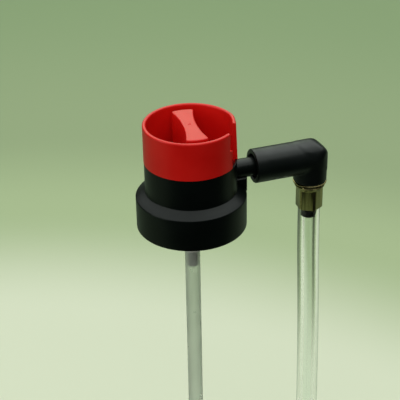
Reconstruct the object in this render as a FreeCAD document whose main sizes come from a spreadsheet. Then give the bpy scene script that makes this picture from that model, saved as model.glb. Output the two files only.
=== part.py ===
import FreeCAD, Part
import math
import os

import Sketcher

# Tyre inflator valve for an aerosol can, in millimetres, +Z up.
# The origin is the centre of the collar's lower rim, and +X runs along the outlet.
# Turning the red knob a quarter turn clockwise screws it down the collar's helical
# grooves; its plunger presses the valve stem, and the gas leaves by the outlet,
# the elbow and the clear hose to a screw-on chuck for the tyre's valve.

sizes = {
    # Collar, outside
    "skirt_radius": 16.8,
    "skirt_height": 10.1,
    "skirt_wall": 0.85,
    "shoulder_rise": 2.1,
    "tower_radius": 13.9,
    "tower_top": 22.0,
    "tower_wall": 1.3,
    "edge_round": 0.35,
    # Collar, inside
    "ceiling_height": 8.1,
    "ledge_width": 3.95,
    "ledge_depth": 2.3,
    "deck_thickness": 1.4,
    "boss_radius": 4.4,
    "chamber_radius": 2.3,
    "gland_lip": 0.3,
    "bead_height": 3.65,
    "bead_length": 1.3,
    "bead_depth": 0.4,
    "bead_ramp": 0.7,
    # Spigot and its gusset
    "spigot_drop": 6.2,
    "spigot_radius": 2.95,
    "spigot_end": 29.5,
    "spigot_bore": 1.2,
    "outlet_radius": 1.8,
    "outlet_bore": 0.6,
    "gusset_width": 5.4,
    "gusset_bite": 0.1,
    # Guard ring and its slot
    "guard_overhang": 0.1,
    "guard_wall": 1.15,
    "guard_height": 11.87,
    "guard_round": 0.5,
    "sleeve_depth": 1.7,
    "sleeve_wall": 0.4,
    "slot_near": -21.5,
    "slot_far_low": -46.5,
    "slot_far_high": -51.7,
    "slot_step": 6.0,
    # Knob
    "knob_recess": 2.0,
    "knob_floor": 1.0,
    "knob_gap": 0.25,
    "knob_travel": 0.8,
    "knob_clearance": 0.3,
    "bar_top_drop": 0.5,
    "bar_setback": 1.85,
    "bar_end_width": 6.4,
    "bar_waist_width": 4.2,
    "bar_angle": 84.6,
    "bar_round": 0.4,
    "bar_wall": 1.0,
    "plunger_radius": 1.5,
    "dimple_radius": 0.45,
    "dimple_depth": 0.15,
    # Lugs and helical grooves
    "lug_reach": 0.4,
    "lug_height": 0.8,
    "lug_angle": 12.0,
    "lug_place": 97.5,
    "groove_depth": 0.6,
    "groove_gap": 0.2,
    # Seals
    "slide_fit": 0.1,
    "seal_gap": 0.05,
    "ring_section": 0.95,
    "spigot_ring_section": 0.7,
    "spigot_ring_place": 4.0,
    "washer_thickness": 0.35,
    # Mounting cup
    "cup_sheet": 0.35,
    "hem_width": 3.15,
    "cup_depth": 9.25,
    "hem_depth": 3.6,
    "hem_gap": 0.2,
    "hem_round": 1.0,
    "seat_gap": 0.05,
    "pedestal_rise": 7.1,
    "cup_hole": 2.3,
    "cup_bend": 0.45,
    "gasket_inset": 1.1,
    "gasket_width": 1.05,
    "gasket_thickness": 0.6,
    # Aerosol valve
    "stem_radius": 1.95,
    "stem_bore": 0.9,
    "stem_reach": 6.75,
    "stem_flange_radius": 3.0,
    "stem_flange_thickness": 1.25,
    "stem_pin_radius": 1.3,
    "stem_pin_length": 2.2,
    "stem_orifice": 0.3,
    "stem_slot_width": 0.7,
    "stem_slot_depth": 0.8,
    "stem_play": 0.1,
    "stem_gasket_thickness": 0.7,
    "housing_flange_radius": 5.1,
    "housing_flange_thickness": 2.25,
    "housing_radius": 4.1,
    "housing_bore": 3.3,
    "housing_depth": 11.45,
    "housing_base": 1.9,
    "tail_radius": 1.75,
    "tail_bore": 1.0,
    "tail_length": 6.5,
    "spring_wire": 0.28,
    "spring_radius": 2.4,
    "spring_turns": 6.0,
    "dip_wall": 0.55,
    "dip_length": 141.2,
    "dip_cut": 2.6,
    # Elbow
    "elbow_mouth": 19.7,
    "elbow_reach": 38.86,
    "arm_radius": 5.3,
    "leg_radius": 5.2,
    "leg_drop": 8.0,
    "bevel_run": 4.1,
    "bevel_rise": 3.55,
    "mouth_radius": 3.9,
    "mouth_depth": 1.8,
    "socket_gap": 0.5,
    "flow_bore": 0.8,
    "neck_radius": 3.9,
    "neck_length": 1.0,
    "barb_length": 12.0,
    # Hose
    "hose_radius": 3.5,
    "hose_bore": 1.5,
    "hose_fit": 0.02,
    # Crimped ferrules
    "crimp_length": 7.7,
    "crimp_corner": 4.225,
    "crimp_flats": 7.65,
    "crimp_chamfer": 0.45,
    "lip_radius": 5.0,
    "lip_wall": 0.4,
    "lip_height": 0.7,
    "flare_height": 1.1,
    "flare_overlap": 0.9,
    "rim_thickness": 1.0,
    # Chuck
    "spindle_radius": 2.2,
    "spindle_length": 5.5,
    "flange_radius": 3.3,
    "flange_thickness": 1.5,
    "pin_bore": 1.2,
    "pin_bore_depth": 3.5,
    "chuck_washer_thickness": 1.5,
    "chuck_washer_bore": 1.0,
    "core_pin_radius": 0.55,
    "core_fin_width": 0.5,
    "core_pin_reach": 0.6,
    "nut_radius": 5.4,
    "nut_length": 14.0,
    "nut_gap": 1.0,
    "nut_fit": 0.15,
    "nut_play": 0.5,
    "nut_chamber": 3.8,
    "thread_radius": 3.5,
    "thread_length": 6.5,
    "flute_radius": 0.6,
    "flute_depth": 0.3,
}

# The hose's route as (x, z) points in the plane of the outlet: straight out of the
# elbow, a slight lean outwards, and then hanging plumb.
hose_route = [
    (38.86, 6.8),
    (38.86, -12.0),
    (39.62, -34.0),
    (40.15, -58.0),
    (40.4, -84.0),
    (40.5, -112.0),
    (40.5, -140.0),
]
bend_share = 0.45

flute_count = 20
lug_count = 3
turn_angle = 90.0
cutter_margin = 1.0

doc = FreeCAD.newDocument("tyre_inflator_valve")
sheet = doc.addObject("Spreadsheet::Sheet", "Sizes")
for row, (word, value) in enumerate(sizes.items(), start=1):
    sheet.set(f"A{row}", word)
    sheet.set(f"B{row}", str(value))
    sheet.setAlias(f"B{row}", word)
doc.recompute()


class Size:
    """A number with the sheet formula that gives it, so that a feature can be bound to it."""

    def __init__(self, number, formula):
        self.number = number
        self.formula = formula

    def __add__(self, other):
        return Size(self.number + number_of(other), f"({self.formula} + {formula_of(other)})")

    def __sub__(self, other):
        return Size(self.number - number_of(other), f"({self.formula} - {formula_of(other)})")

    def __mul__(self, other):
        return Size(self.number * number_of(other), f"({self.formula} * {formula_of(other)})")

    def __truediv__(self, other):
        return Size(self.number / number_of(other), f"({self.formula} / {formula_of(other)})")

    def __neg__(self):
        return Size(-self.number, f"(0 - {self.formula})")


def number_of(value):
    return value.number if isinstance(value, Size) else float(value)


def formula_of(value):
    return value.formula if isinstance(value, Size) else f"{float(value):.9g}"


def size(word):
    return Size(float(sheet.get(word)), f"Sizes.{word}")


def bind(thing, path, value):
    """Sets one property of an object from the sheet."""
    thing.setExpression(path, formula_of(value))


def polar(radius, angle):
    """The point at a radius and an angle in degrees, as two sizes."""
    turn = math.radians(angle.number)
    return (
        Size(radius.number * math.cos(turn), f"({radius.formula} * cos({angle.formula} * 1deg))"),
        Size(radius.number * math.sin(turn), f"({radius.formula} * sin({angle.formula} * 1deg))"),
    )


# Levels and radii that several pieces share

skirt_bore = size("skirt_radius") - size("skirt_wall")
shoulder_top = size("skirt_height") + size("shoulder_rise")
ceiling = size("ceiling_height")
deck_base = ceiling + size("ledge_depth")
deck_top = deck_base + size("deck_thickness")
tower_top = size("tower_top")
tower_bore = size("tower_radius") - size("tower_wall")
spigot_height = tower_top - size("spigot_drop")

guard_radius = size("tower_radius") + size("guard_overhang")
guard_bore = guard_radius - size("guard_wall")
sleeve_radius = guard_bore + size("sleeve_wall")
sleeve_seat = tower_top - size("sleeve_depth")
guard_top = tower_top + size("guard_height")
floor_top = tower_top - size("knob_recess")
floor_base = floor_top - size("knob_floor")
bar_top = guard_top - size("bar_top_drop")
floor_radius = tower_bore - size("knob_gap")
bar_reach = floor_radius - size("bar_setback")
boss_top = floor_base - size("knob_travel") - size("knob_clearance")

ring_radius = size("ring_section") / 2
gland_depth = size("ring_section") + size("washer_thickness") + size("seal_gap")
knob_ring_mean = size("plunger_radius") + size("seal_gap") + ring_radius
knob_gland_bore = knob_ring_mean + ring_radius + size("seal_gap")
stem_ring_mean = size("stem_radius") + size("seal_gap") + ring_radius
stem_gland_bore = stem_ring_mean + ring_radius + size("seal_gap")
chamber_top = boss_top - gland_depth - size("gland_lip")
chamber_base = deck_base + size("gland_lip")
boss_base = deck_base - gland_depth

hem_radius = skirt_bore - size("hem_gap")
cup_wall = hem_radius - size("hem_width")
hem_top = ceiling - size("seat_gap")
cup_floor = hem_top - size("cup_depth")
pedestal_top = cup_floor + size("pedestal_rise")
gasket_roof = pedestal_top - size("cup_sheet")
housing_top = gasket_roof - size("stem_gasket_thickness")
housing_flange_base = housing_top - size("housing_flange_thickness")
spring_floor = housing_top - size("housing_depth")
housing_foot = spring_floor - size("housing_base")
pedestal_bore = size("housing_flange_radius") + size("hem_gap")
stem_flange_top = housing_top - size("seal_gap")
stem_flange_base = stem_flange_top - size("stem_flange_thickness")
stem_top = pedestal_top + size("stem_reach")
plunger_tip = stem_top + size("stem_play")

leg_base = spigot_height - size("leg_drop")
neck_base = leg_base - size("neck_length")
barb_radius = size("hose_bore") - size("hose_fit")
ferrule_bore = size("hose_radius") + size("hose_fit")
hose_end_x, hose_end_z = hose_route[-1]
spindle_base = -size("spindle_length") + hose_end_z
chuck_face = spindle_base - size("flange_thickness")


# Sketches and features

def new_body(name):
    body = doc.addObject("PartDesign::Body", name)
    body.Label = name
    return body


def origin_feature(body, role):
    return next(part for part in body.Origin.OriginFeatures if part.Role == role)


def new_sketch(body, name, plane="XZ_Plane", along=0, up=0, off=0):
    """A sketch on one of the body's origin planes, moved along, up and off that plane."""
    sketch = body.newObject("Sketcher::SketchObject", name)
    sketch.AttachmentSupport = [(origin_feature(body, plane), "")]
    sketch.MapMode = "FlatFace"
    bind(sketch, "AttachmentOffset.Base.x", along)
    bind(sketch, "AttachmentOffset.Base.y", up)
    bind(sketch, "AttachmentOffset.Base.z", off)
    return sketch


def place_point(sketch, shape, end, across, up):
    """Ties one point of a sketch to its distances from the sketch's origin."""
    for kind, axis, value in (("DistanceX", -2, across), ("DistanceY", -1, up)):
        if isinstance(value, Size):
            rule = Sketcher.Constraint(kind, -1, 1, shape, end, value.number)
            index = sketch.addConstraint(rule)
            sketch.setExpression(f"Constraints[{index}]", value.formula)
        elif value == 0:
            sketch.addConstraint(Sketcher.Constraint("PointOnObject", shape, end, axis))
        else:
            sketch.addConstraint(Sketcher.Constraint(kind, -1, 1, shape, end, float(value)))


def set_radius(sketch, shape, radius):
    index = sketch.addConstraint(Sketcher.Constraint("Radius", shape, number_of(radius)))
    sketch.setExpression(f"Constraints[{index}]", formula_of(radius))


def add_outline(sketch, corners):
    """Draws a closed outline. A corner is (across, up), or (across, up, rounding)."""
    count = len(corners)
    points = [FreeCAD.Vector(number_of(c[0]), number_of(c[1]), 0) for c in corners]
    rounds = [c[2] if len(c) > 2 else None for c in corners]
    entries, exits, turns = [], [], []
    for i, point in enumerate(points):
        back = (points[i - 1] - point).normalize()
        ahead = (points[(i + 1) % count] - point).normalize()
        turns.append(back.y * ahead.x - back.x * ahead.y)
        trim = 0.0
        if rounds[i] is not None:
            trim = number_of(rounds[i]) / math.tan(back.getAngle(ahead) / 2)
        entries.append(point + back * trim)
        exits.append(point + ahead * trim)
    first = sketch.GeometryCount
    lines = [Part.LineSegment(exits[i], entries[(i + 1) % count]) for i in range(count)]
    sketch.addGeometry(lines, False)
    for i, point in enumerate(points):
        before, after = first + (i - 1) % count, first + i
        if rounds[i] is None:
            sketch.addConstraint(Sketcher.Constraint("Coincident", before, 2, after, 1))
            place_point(sketch, after, 1, corners[i][0], corners[i][1])
            continue
        add_rounding(sketch, point, entries[i], exits[i], turns[i], before, after, corners[i])
    return sketch


def add_rounding(sketch, point, entry, exit_point, turn, before, after, corner):
    """Rounds one corner: an arc tangent to both lines, whose lines aim at the corner point."""
    radius = number_of(corner[2])
    inward = (entry + exit_point) / 2 - point
    half = (entry - point).Length
    centre = point + inward.normalize() * math.hypot(half, radius)
    start, end = (entry, exit_point) if turn > 0 else (exit_point, entry)
    start_turn = math.atan2(start.y - centre.y, start.x - centre.x)
    end_turn = math.atan2(end.y - centre.y, end.x - centre.x)
    if end_turn < start_turn:
        end_turn += 2 * math.pi
    circle = Part.Circle(centre, FreeCAD.Vector(0, 0, 1), radius)
    arc = sketch.addGeometry(Part.ArcOfCircle(circle, start_turn, end_turn), False)
    mark = sketch.addGeometry(Part.Point(point), True)
    arc_in, arc_out = (1, 2) if turn > 0 else (2, 1)
    sketch.addConstraint(Sketcher.Constraint("Tangent", before, 2, arc, arc_in))
    sketch.addConstraint(Sketcher.Constraint("Tangent", arc, arc_out, after, 1))
    sketch.addConstraint(Sketcher.Constraint("PointOnObject", mark, 1, before))
    sketch.addConstraint(Sketcher.Constraint("PointOnObject", mark, 1, after))
    set_radius(sketch, arc, corner[2])
    place_point(sketch, mark, 1, corner[0], corner[1])


def add_rectangle(sketch, left, right, low, high):
    return add_outline(sketch, [(left, low), (right, low), (right, high), (left, high)])


def add_circle(sketch, radius, across=0, up=0):
    centre = FreeCAD.Vector(number_of(across), number_of(up), 0)
    circle = sketch.addGeometry(Part.Circle(centre, FreeCAD.Vector(0, 0, 1), number_of(radius)), False)
    set_radius(sketch, circle, radius)
    place_point(sketch, circle, 3, across, up)
    return sketch


def add_feature(body, kind, name, sketch):
    feature = body.newObject(f"PartDesign::{kind}", name)
    feature.Profile = sketch
    return feature


def revolve(body, name, sketch, axis="V_Axis", kind="Revolution"):
    feature = add_feature(body, kind, name, sketch)
    feature.ReferenceAxis = (sketch, [axis])
    feature.Angle = 360
    return feature


def extrude(body, name, sketch, length, kind="Pad", backwards=False, both_ways=False):
    """Pads along the sketch's normal, or cuts a pocket against it."""
    feature = add_feature(body, kind, name, sketch)
    bind(feature, "Length", length)
    feature.Reversed = backwards
    feature.Midplane = both_ways
    return feature


def repeat_round(body, name, feature, count):
    pattern = body.newObject("PartDesign::PolarPattern", name)
    pattern.Originals = [feature]
    pattern.Axis = (origin_feature(body, "Z_Axis"), [""])
    pattern.Angle = 360
    pattern.Occurrences = count
    body.Tip = pattern
    return pattern


def turned_piece(name, corners, along=0):
    """A piece turned about an upright axis at the given distance along X."""
    body = new_body(name)
    sketch = add_outline(new_sketch(body, f"{name}_profile", along=along), corners)
    revolve(body, f"{name}_turned", sketch)
    return body


def seal_ring(name, mean_radius, section_radius, along=0, up=0, lying=True):
    """A round-section ring, flat or standing across X."""
    ring = doc.addObject("Part::Torus", name)
    ring.Label = name
    if not lying:
        ring.Placement.Rotation = FreeCAD.Rotation(FreeCAD.Vector(0, 1, 0), 90)
    bind(ring, "Radius1", mean_radius)
    bind(ring, "Radius2", section_radius)
    bind(ring, "Placement.Base.x", along)
    bind(ring, "Placement.Base.z", up)
    return ring


def cylinder(name, radius, length, along=0, up=0, upright=True):
    """A plain cylinder: it rises from its place, or runs along X from it."""
    solid = doc.addObject("Part::Cylinder", name)
    if not upright:
        solid.Placement.Rotation = FreeCAD.Rotation(FreeCAD.Vector(0, 1, 0), 90)
    bind(solid, "Radius", radius)
    bind(solid, "Height", length)
    bind(solid, "Placement.Base.x", along)
    bind(solid, "Placement.Base.z", up)
    return solid


# Collar and guard ring

def make_collar():
    """Skirt, shoulder and tower in one moulding, with the central boss, the spigot
    and the three helical grooves that the knob's lugs run in."""
    body = new_body("collar")
    corners = [
        (size("skirt_radius"), 0),
        (size("skirt_radius"), size("skirt_height"), size("edge_round")),
        (size("tower_radius"), shoulder_top),
        (size("tower_radius"), tower_top),
        (sleeve_radius + size("slide_fit"), tower_top),
        (sleeve_radius + size("slide_fit"), sleeve_seat),
        (tower_bore, sleeve_seat),
        (tower_bore, deck_top, size("edge_round")),
        (size("boss_radius"), deck_top, size("edge_round")),
        (size("boss_radius"), boss_top),
        (knob_gland_bore, boss_top),
        (knob_gland_bore, boss_top - gland_depth),
        (size("plunger_radius") + size("slide_fit"), boss_top - gland_depth),
        (size("plunger_radius") + size("slide_fit"), chamber_top),
        (size("chamber_radius"), chamber_top),
        (size("chamber_radius"), chamber_base),
        (size("stem_radius") + size("slide_fit"), chamber_base),
        (size("stem_radius") + size("slide_fit"), deck_base),
        (stem_gland_bore, deck_base),
        (stem_gland_bore, boss_base),
        (size("boss_radius"), boss_base),
        (size("boss_radius"), deck_base),
        (skirt_bore - size("ledge_width"), deck_base),
        (skirt_bore - size("ledge_width"), ceiling),
        (skirt_bore, ceiling),
        (skirt_bore, size("bead_height") + size("bead_length") / 2),
        (skirt_bore - size("bead_depth"), size("bead_height")),
        (skirt_bore - size("bead_depth"), size("bead_height") - size("bead_ramp")),
        (skirt_bore, size("bead_height") - size("bead_ramp") - size("bead_length")),
        (skirt_bore, 0),
    ]
    revolve(body, "collar_turned", add_outline(new_sketch(body, "collar_profile"), corners))

    gusset_top = spigot_height - size("spigot_radius") + size("gusset_bite")
    gusset = new_sketch(body, "gusset_sketch", "XY_Plane", off=gusset_top)
    half_gusset = size("gusset_width") / 2
    root = tower_bore + size("tower_wall") / 2
    add_rectangle(gusset, root, size("skirt_radius"), -half_gusset, half_gusset)
    extrude(body, "gusset", gusset, gusset_top - ceiling - size("ledge_depth") / 2, backwards=True)

    spigot = add_circle(
        new_sketch(body, "spigot_sketch", "YZ_Plane", off=root), size("spigot_radius"), up=spigot_height)
    extrude(body, "spigot", spigot, size("spigot_end") - root)
    outlet_start = size("boss_radius") - size("outlet_bore")
    outlet = add_circle(
        new_sketch(body, "outlet_sketch", "YZ_Plane", off=outlet_start), size("outlet_radius"),
        up=spigot_height)
    extrude(body, "outlet_tube", outlet, root - outlet_start)

    groove = new_sketch(body, "spigot_groove_sketch", up=spigot_height)
    ring_centre = size("spigot_end") - size("spigot_ring_place")
    half_groove = size("spigot_ring_section") / 2 + size("seal_gap") * 2
    add_rectangle(
        groove, ring_centre - half_groove, ring_centre + half_groove,
        size("spigot_radius") - size("spigot_ring_section"), size("spigot_radius") + cutter_margin)
    revolve(body, "spigot_groove", groove, "H_Axis", "Groove")

    wide_end = size("spigot_end") + cutter_margin
    wide = add_circle(
        new_sketch(body, "spigot_bore_sketch", "YZ_Plane", off=wide_end), size("spigot_bore"),
        up=spigot_height)
    extrude(body, "spigot_bore", wide, wide_end - root, "Pocket")
    narrow = add_circle(
        new_sketch(body, "outlet_bore_sketch", "YZ_Plane", off=root + cutter_margin), size("outlet_bore"),
        up=spigot_height)
    extrude(body, "outlet_bore", narrow, root + cutter_margin - size("outlet_bore") * 2, "Pocket")

    lug_middle = floor_base + size("knob_floor") / 2
    lead = size("knob_travel") * (360 / turn_angle)
    side_room = size("lug_angle") / 2 + size("groove_gap") * 8
    start_height = lug_middle - size("knob_travel") - lead * (side_room / 360)
    helix_sketch = new_sketch(body, "lug_groove_sketch")
    half_height = size("lug_height") / 2 + size("groove_gap")
    add_rectangle(
        helix_sketch, tower_bore - size("groove_depth"), tower_bore + size("groove_depth"),
        start_height - half_height, start_height + half_height)
    helix = add_feature(body, "SubtractiveHelix", "lug_groove", helix_sketch)
    helix.ReferenceAxis = (helix_sketch, ["V_Axis"])
    helix.Mode = "pitch-height-angle"
    bind(helix, "Pitch", lead)
    bind(helix, "Height", size("knob_travel") + lead * (side_room * 2 / 360))
    repeat_round(body, "lug_grooves", helix, lug_count)
    return body


def make_guard_ring():
    """Red ring whose sleeve is pressed in the tower, open at the side in a stepped slot."""
    body = turned_piece("guard_ring", [
        (guard_radius, tower_top),
        (guard_radius, guard_top, size("guard_round")),
        (guard_bore, guard_top, size("guard_round")),
        (guard_bore, sleeve_seat + size("seal_gap")),
        (sleeve_radius, sleeve_seat + size("seal_gap")),
        (sleeve_radius, tower_top),
    ])
    step = tower_top + size("slot_step")
    for name, top, base, far in (
        ("slot_low", step, sleeve_seat - cutter_margin, size("slot_far_low")),
        ("slot_high", guard_top + cutter_margin, step, size("slot_far_high")),
    ):
        inner = tower_bore - size("guard_wall") * 2
        outer = guard_radius + size("guard_wall") * 2
        sketch = new_sketch(body, f"{name}_sketch", "XY_Plane", off=top)
        near = size("slot_near")
        add_outline(sketch, [polar(inner, far), polar(outer, far), polar(outer, near), polar(inner, near)])
        extrude(body, name, sketch, top - base, "Pocket")
    return body


# Knob

def make_knob():
    """Round floor with three rim lugs, a waisted finger bar on top and the plunger below."""
    body = turned_piece("knob", [
        (0, plunger_tip),
        (size("plunger_radius"), plunger_tip, size("edge_round")),
        (size("plunger_radius"), floor_base),
        (floor_radius, floor_base),
        (floor_radius, floor_top),
        (0, floor_top),
    ])
    lug_middle = floor_base + size("knob_floor") / 2
    lug_sketch = new_sketch(body, "lug_sketch", "XY_Plane", off=lug_middle)
    half_lug = size("lug_angle") / 2
    low, high = size("lug_place") - half_lug, size("lug_place") + half_lug
    inner = tower_bore - size("groove_depth") - size("knob_gap")
    outer = tower_bore + size("lug_reach")
    add_outline(lug_sketch, [polar(inner, low), polar(outer, low), polar(outer, high), polar(inner, high)])
    lug = extrude(body, "lug", lug_sketch, size("lug_height"), both_ways=True)
    repeat_round(body, "lugs", lug, lug_count)

    bar_sketch = new_sketch(body, "bar_sketch", "XY_Plane", off=floor_top)
    bind(bar_sketch, "AttachmentOffset.Rotation.Angle", size("bar_angle"))
    add_bar_outline(bar_sketch)
    bar = extrude(body, "bar", bar_sketch, bar_top - floor_top)

    for name, side in (("bar_core_near", 1), ("bar_core_far", -1)):
        core = new_sketch(body, f"{name}_sketch", "XY_Plane", off=floor_base)
        bind(core, "AttachmentOffset.Rotation.Angle", size("bar_angle"))
        half_core = size("bar_waist_width") / 2 - size("bar_wall")
        near = (size("plunger_radius") + size("bar_wall")) * side
        far = (bar_reach - size("bar_wall") * 1.5) * side
        left, right = (near, far) if side > 0 else (far, near)
        add_rectangle(core, left, right, -half_core, half_core)
        extrude(body, name, core, bar_top - size("bar_wall") - floor_base, "Pocket", backwards=True)

    dimple = add_circle(new_sketch(body, "dimple_sketch", "XY_Plane", off=bar_top), size("dimple_radius"))
    dimple_cut = extrude(body, "dimple", dimple, size("dimple_depth"), "Pocket")
    doc.recompute()
    round_top(body, dimple_cut, bar_top.number, size("bar_round"), bar)
    return body


def add_bar_outline(sketch):
    """Two end arcs about the knob's axis, joined by two hollow sides."""
    reach, end, waist = bar_reach, size("bar_end_width") / 2, size("bar_waist_width") / 2
    dip = end - waist
    side_radius = (reach * reach - end * end + dip * dip) / (dip * 2)
    corner = (reach.number ** 2 - end.number ** 2) ** 0.5
    up = FreeCAD.Vector(0, 0, 1)
    end_turn = math.atan2(end.number, corner)
    side_turn = math.atan2(corner, waist.number + side_radius.number - end.number)
    middle = FreeCAD.Vector(0, waist.number + side_radius.number, 0)
    circle = Part.Circle(FreeCAD.Vector(0, 0, 0), up, reach.number)
    right = sketch.addGeometry(Part.ArcOfCircle(circle, -end_turn, end_turn), False)
    left = sketch.addGeometry(Part.ArcOfCircle(circle, math.pi - end_turn, math.pi + end_turn), False)
    quarter = math.pi / 2
    above = sketch.addGeometry(Part.ArcOfCircle(
        Part.Circle(middle, up, side_radius.number), 3 * quarter - side_turn, 3 * quarter + side_turn), False)
    below = sketch.addGeometry(Part.ArcOfCircle(
        Part.Circle(-middle, up, side_radius.number), quarter - side_turn, quarter + side_turn), False)
    for first, first_end, second, second_end in (
        (right, 2, above, 2), (above, 1, left, 1), (left, 2, below, 2), (below, 1, right, 1),
    ):
        sketch.addConstraint(Sketcher.Constraint("Coincident", first, first_end, second, second_end))
    for arc in (right, left):
        sketch.addConstraint(Sketcher.Constraint("Coincident", arc, 3, -1, 1))
        set_radius(sketch, arc, reach)
    for arc in (above, below):
        set_radius(sketch, arc, side_radius)
    for arc, point, height in ((right, 1, -end), (right, 2, end), (left, 1, end), (left, 2, -end)):
        index = sketch.addConstraint(Sketcher.Constraint("DistanceY", -1, 1, arc, point, height.number))
        sketch.setExpression(f"Constraints[{index}]", height.formula)


def round_top(body, base, height, radius, wanted):
    """Rounds the long rim of the level face at a height."""
    names = []
    for index, edge in enumerate(base.Shape.Edges, start=1):
        box = edge.BoundBox
        level = abs(box.ZMin - height) < 1e-4 and abs(box.ZMax - height) < 1e-4
        if level and edge.Length > wanted.Length.Value / 4:
            names.append(f"Edge{index}")
    fillet = body.newObject("PartDesign::Fillet", f"{body.Name}_round")
    fillet.Base = (base, names)
    bind(fillet, "Radius", radius)
    return fillet


# Seals of the glands

def make_gland(name, mean_radius, bore, face, upwards):
    """The washer that is pressed in at a gland's mouth to keep its ring in."""
    inner = mean_radius - ring_radius + size("slide_fit")
    deep = face - size("washer_thickness") if upwards else face + size("washer_thickness")
    low, high = (deep, face) if upwards else (face, deep)
    return turned_piece(name, [(inner, low), (bore, low), (bore, high), (inner, high)])


# Mounting cup and aerosol valve

def make_mounting_cup():
    """Pressed sheet cup: rolled hem over the can's bead, deep well and raised pedestal."""
    sheet_wall, bend = size("cup_sheet"), size("cup_bend")
    hem, wall = hem_radius, cup_wall
    return turned_piece("mounting_cup", [
        (hem, hem_top - size("hem_depth")),
        (hem, hem_top, size("hem_round")),
        (wall - sheet_wall, hem_top, bend + sheet_wall),
        (wall - sheet_wall, cup_floor + sheet_wall, bend),
        (pedestal_bore + sheet_wall, cup_floor + sheet_wall, bend),
        (pedestal_bore + sheet_wall, pedestal_top, bend + sheet_wall),
        (size("cup_hole"), pedestal_top),
        (size("cup_hole"), pedestal_top - sheet_wall),
        (pedestal_bore, pedestal_top - sheet_wall, bend),
        (pedestal_bore, cup_floor, bend + sheet_wall),
        (wall, cup_floor, bend + sheet_wall),
        (wall, hem_top - sheet_wall, bend),
        (hem - sheet_wall, hem_top - sheet_wall, size("hem_round") - sheet_wall),
        (hem - sheet_wall, hem_top - size("hem_depth")),
    ])


def make_cup_gasket():
    inner = cup_wall + size("gasket_inset")
    top = hem_top - size("cup_sheet")
    base = top - size("gasket_thickness")
    outer = inner + size("gasket_width")
    return turned_piece("cup_gasket", [(inner, base), (outer, base), (outer, top), (inner, top)])


def make_stem_gasket():
    inner, outer = size("stem_radius") + size("seal_gap"), size("housing_flange_radius") - size("cup_bend")
    return turned_piece("stem_gasket", [
        (inner, housing_top), (outer, housing_top), (outer, gasket_roof), (inner, gasket_roof)])


def make_valve_stem():
    """Hollow stem: side orifices at the gasket, a flange under it and a slotted top."""
    orifice_height = housing_top + size("stem_gasket_thickness") / 2
    bore_floor = orifice_height - size("stem_orifice") * 2
    body = turned_piece("valve_stem", [
        (0, stem_flange_base - size("stem_pin_length")),
        (size("stem_pin_radius"), stem_flange_base - size("stem_pin_length"), size("edge_round")),
        (size("stem_pin_radius"), stem_flange_base),
        (size("stem_flange_radius"), stem_flange_base),
        (size("stem_flange_radius"), stem_flange_top),
        (size("stem_radius"), stem_flange_top),
        (size("stem_radius"), stem_top),
        (size("stem_bore"), stem_top),
        (size("stem_bore"), bore_floor),
        (0, bore_floor),
    ])
    orifice = add_circle(
        new_sketch(body, "orifice_sketch", "YZ_Plane"), size("stem_orifice"), up=orifice_height)
    extrude(body, "orifices", orifice, size("stem_radius") * 3, "Pocket", both_ways=True)
    slot = new_sketch(body, "slot_sketch", "XY_Plane", off=stem_top)
    half_slot = size("stem_slot_width") / 2
    reach = size("stem_radius") * 2
    add_rectangle(slot, -reach, reach, -half_slot, half_slot)
    extrude(body, "slot", slot, size("stem_slot_depth"), "Pocket")
    return body


def make_valve_housing():
    """Cup that holds the spring, with a flange above and the dip tube's tail below."""
    foot = housing_foot
    return turned_piece("valve_housing", [
        (size("housing_flange_radius"), housing_top),
        (size("housing_bore"), housing_top),
        (size("housing_bore"), spring_floor),
        (size("tail_bore"), spring_floor),
        (size("tail_bore"), foot - size("tail_length")),
        (size("tail_radius"), foot - size("tail_length"), size("edge_round")),
        (size("tail_radius"), foot),
        (size("housing_radius"), foot, size("edge_round")),
        (size("housing_radius"), housing_flange_base),
        (size("housing_flange_radius"), housing_flange_base),
    ])


def make_return_spring():
    """Round-wire compression spring between the housing's floor and the stem's flange."""
    body = new_body("return_spring")
    wire = size("spring_wire")
    low = spring_floor + wire + size("seal_gap")
    rise = stem_flange_base - wire - size("seal_gap") - low
    sketch = add_circle(new_sketch(body, "wire_sketch"), wire, size("spring_radius"), low)
    helix = add_feature(body, "AdditiveHelix", "coils", sketch)
    helix.ReferenceAxis = (sketch, ["V_Axis"])
    helix.Mode = "pitch-height-angle"
    bind(helix, "Pitch", rise / size("spring_turns"))
    bind(helix, "Height", rise)
    return body


def make_dip_tube():
    """Thin tube pushed over the housing's tail, cut at a slant at its foot."""
    bore = size("tail_radius") + size("seal_gap")
    outer = bore + size("dip_wall")
    top = housing_foot - size("seal_gap")
    foot = top - size("dip_length")
    body = turned_piece("dip_tube", [(bore, foot), (outer, foot), (outer, top), (bore, top)])
    slant = new_sketch(body, "slant_sketch")
    side = outer + cutter_margin
    below = foot - cutter_margin
    add_outline(slant, [(-side, below), (side, below), (-side, foot + size("dip_cut"))])
    extrude(body, "slant", slant, (side + cutter_margin) * 2, "Pocket", both_ways=True)
    return body


# Elbow, hose and ferrules

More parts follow.
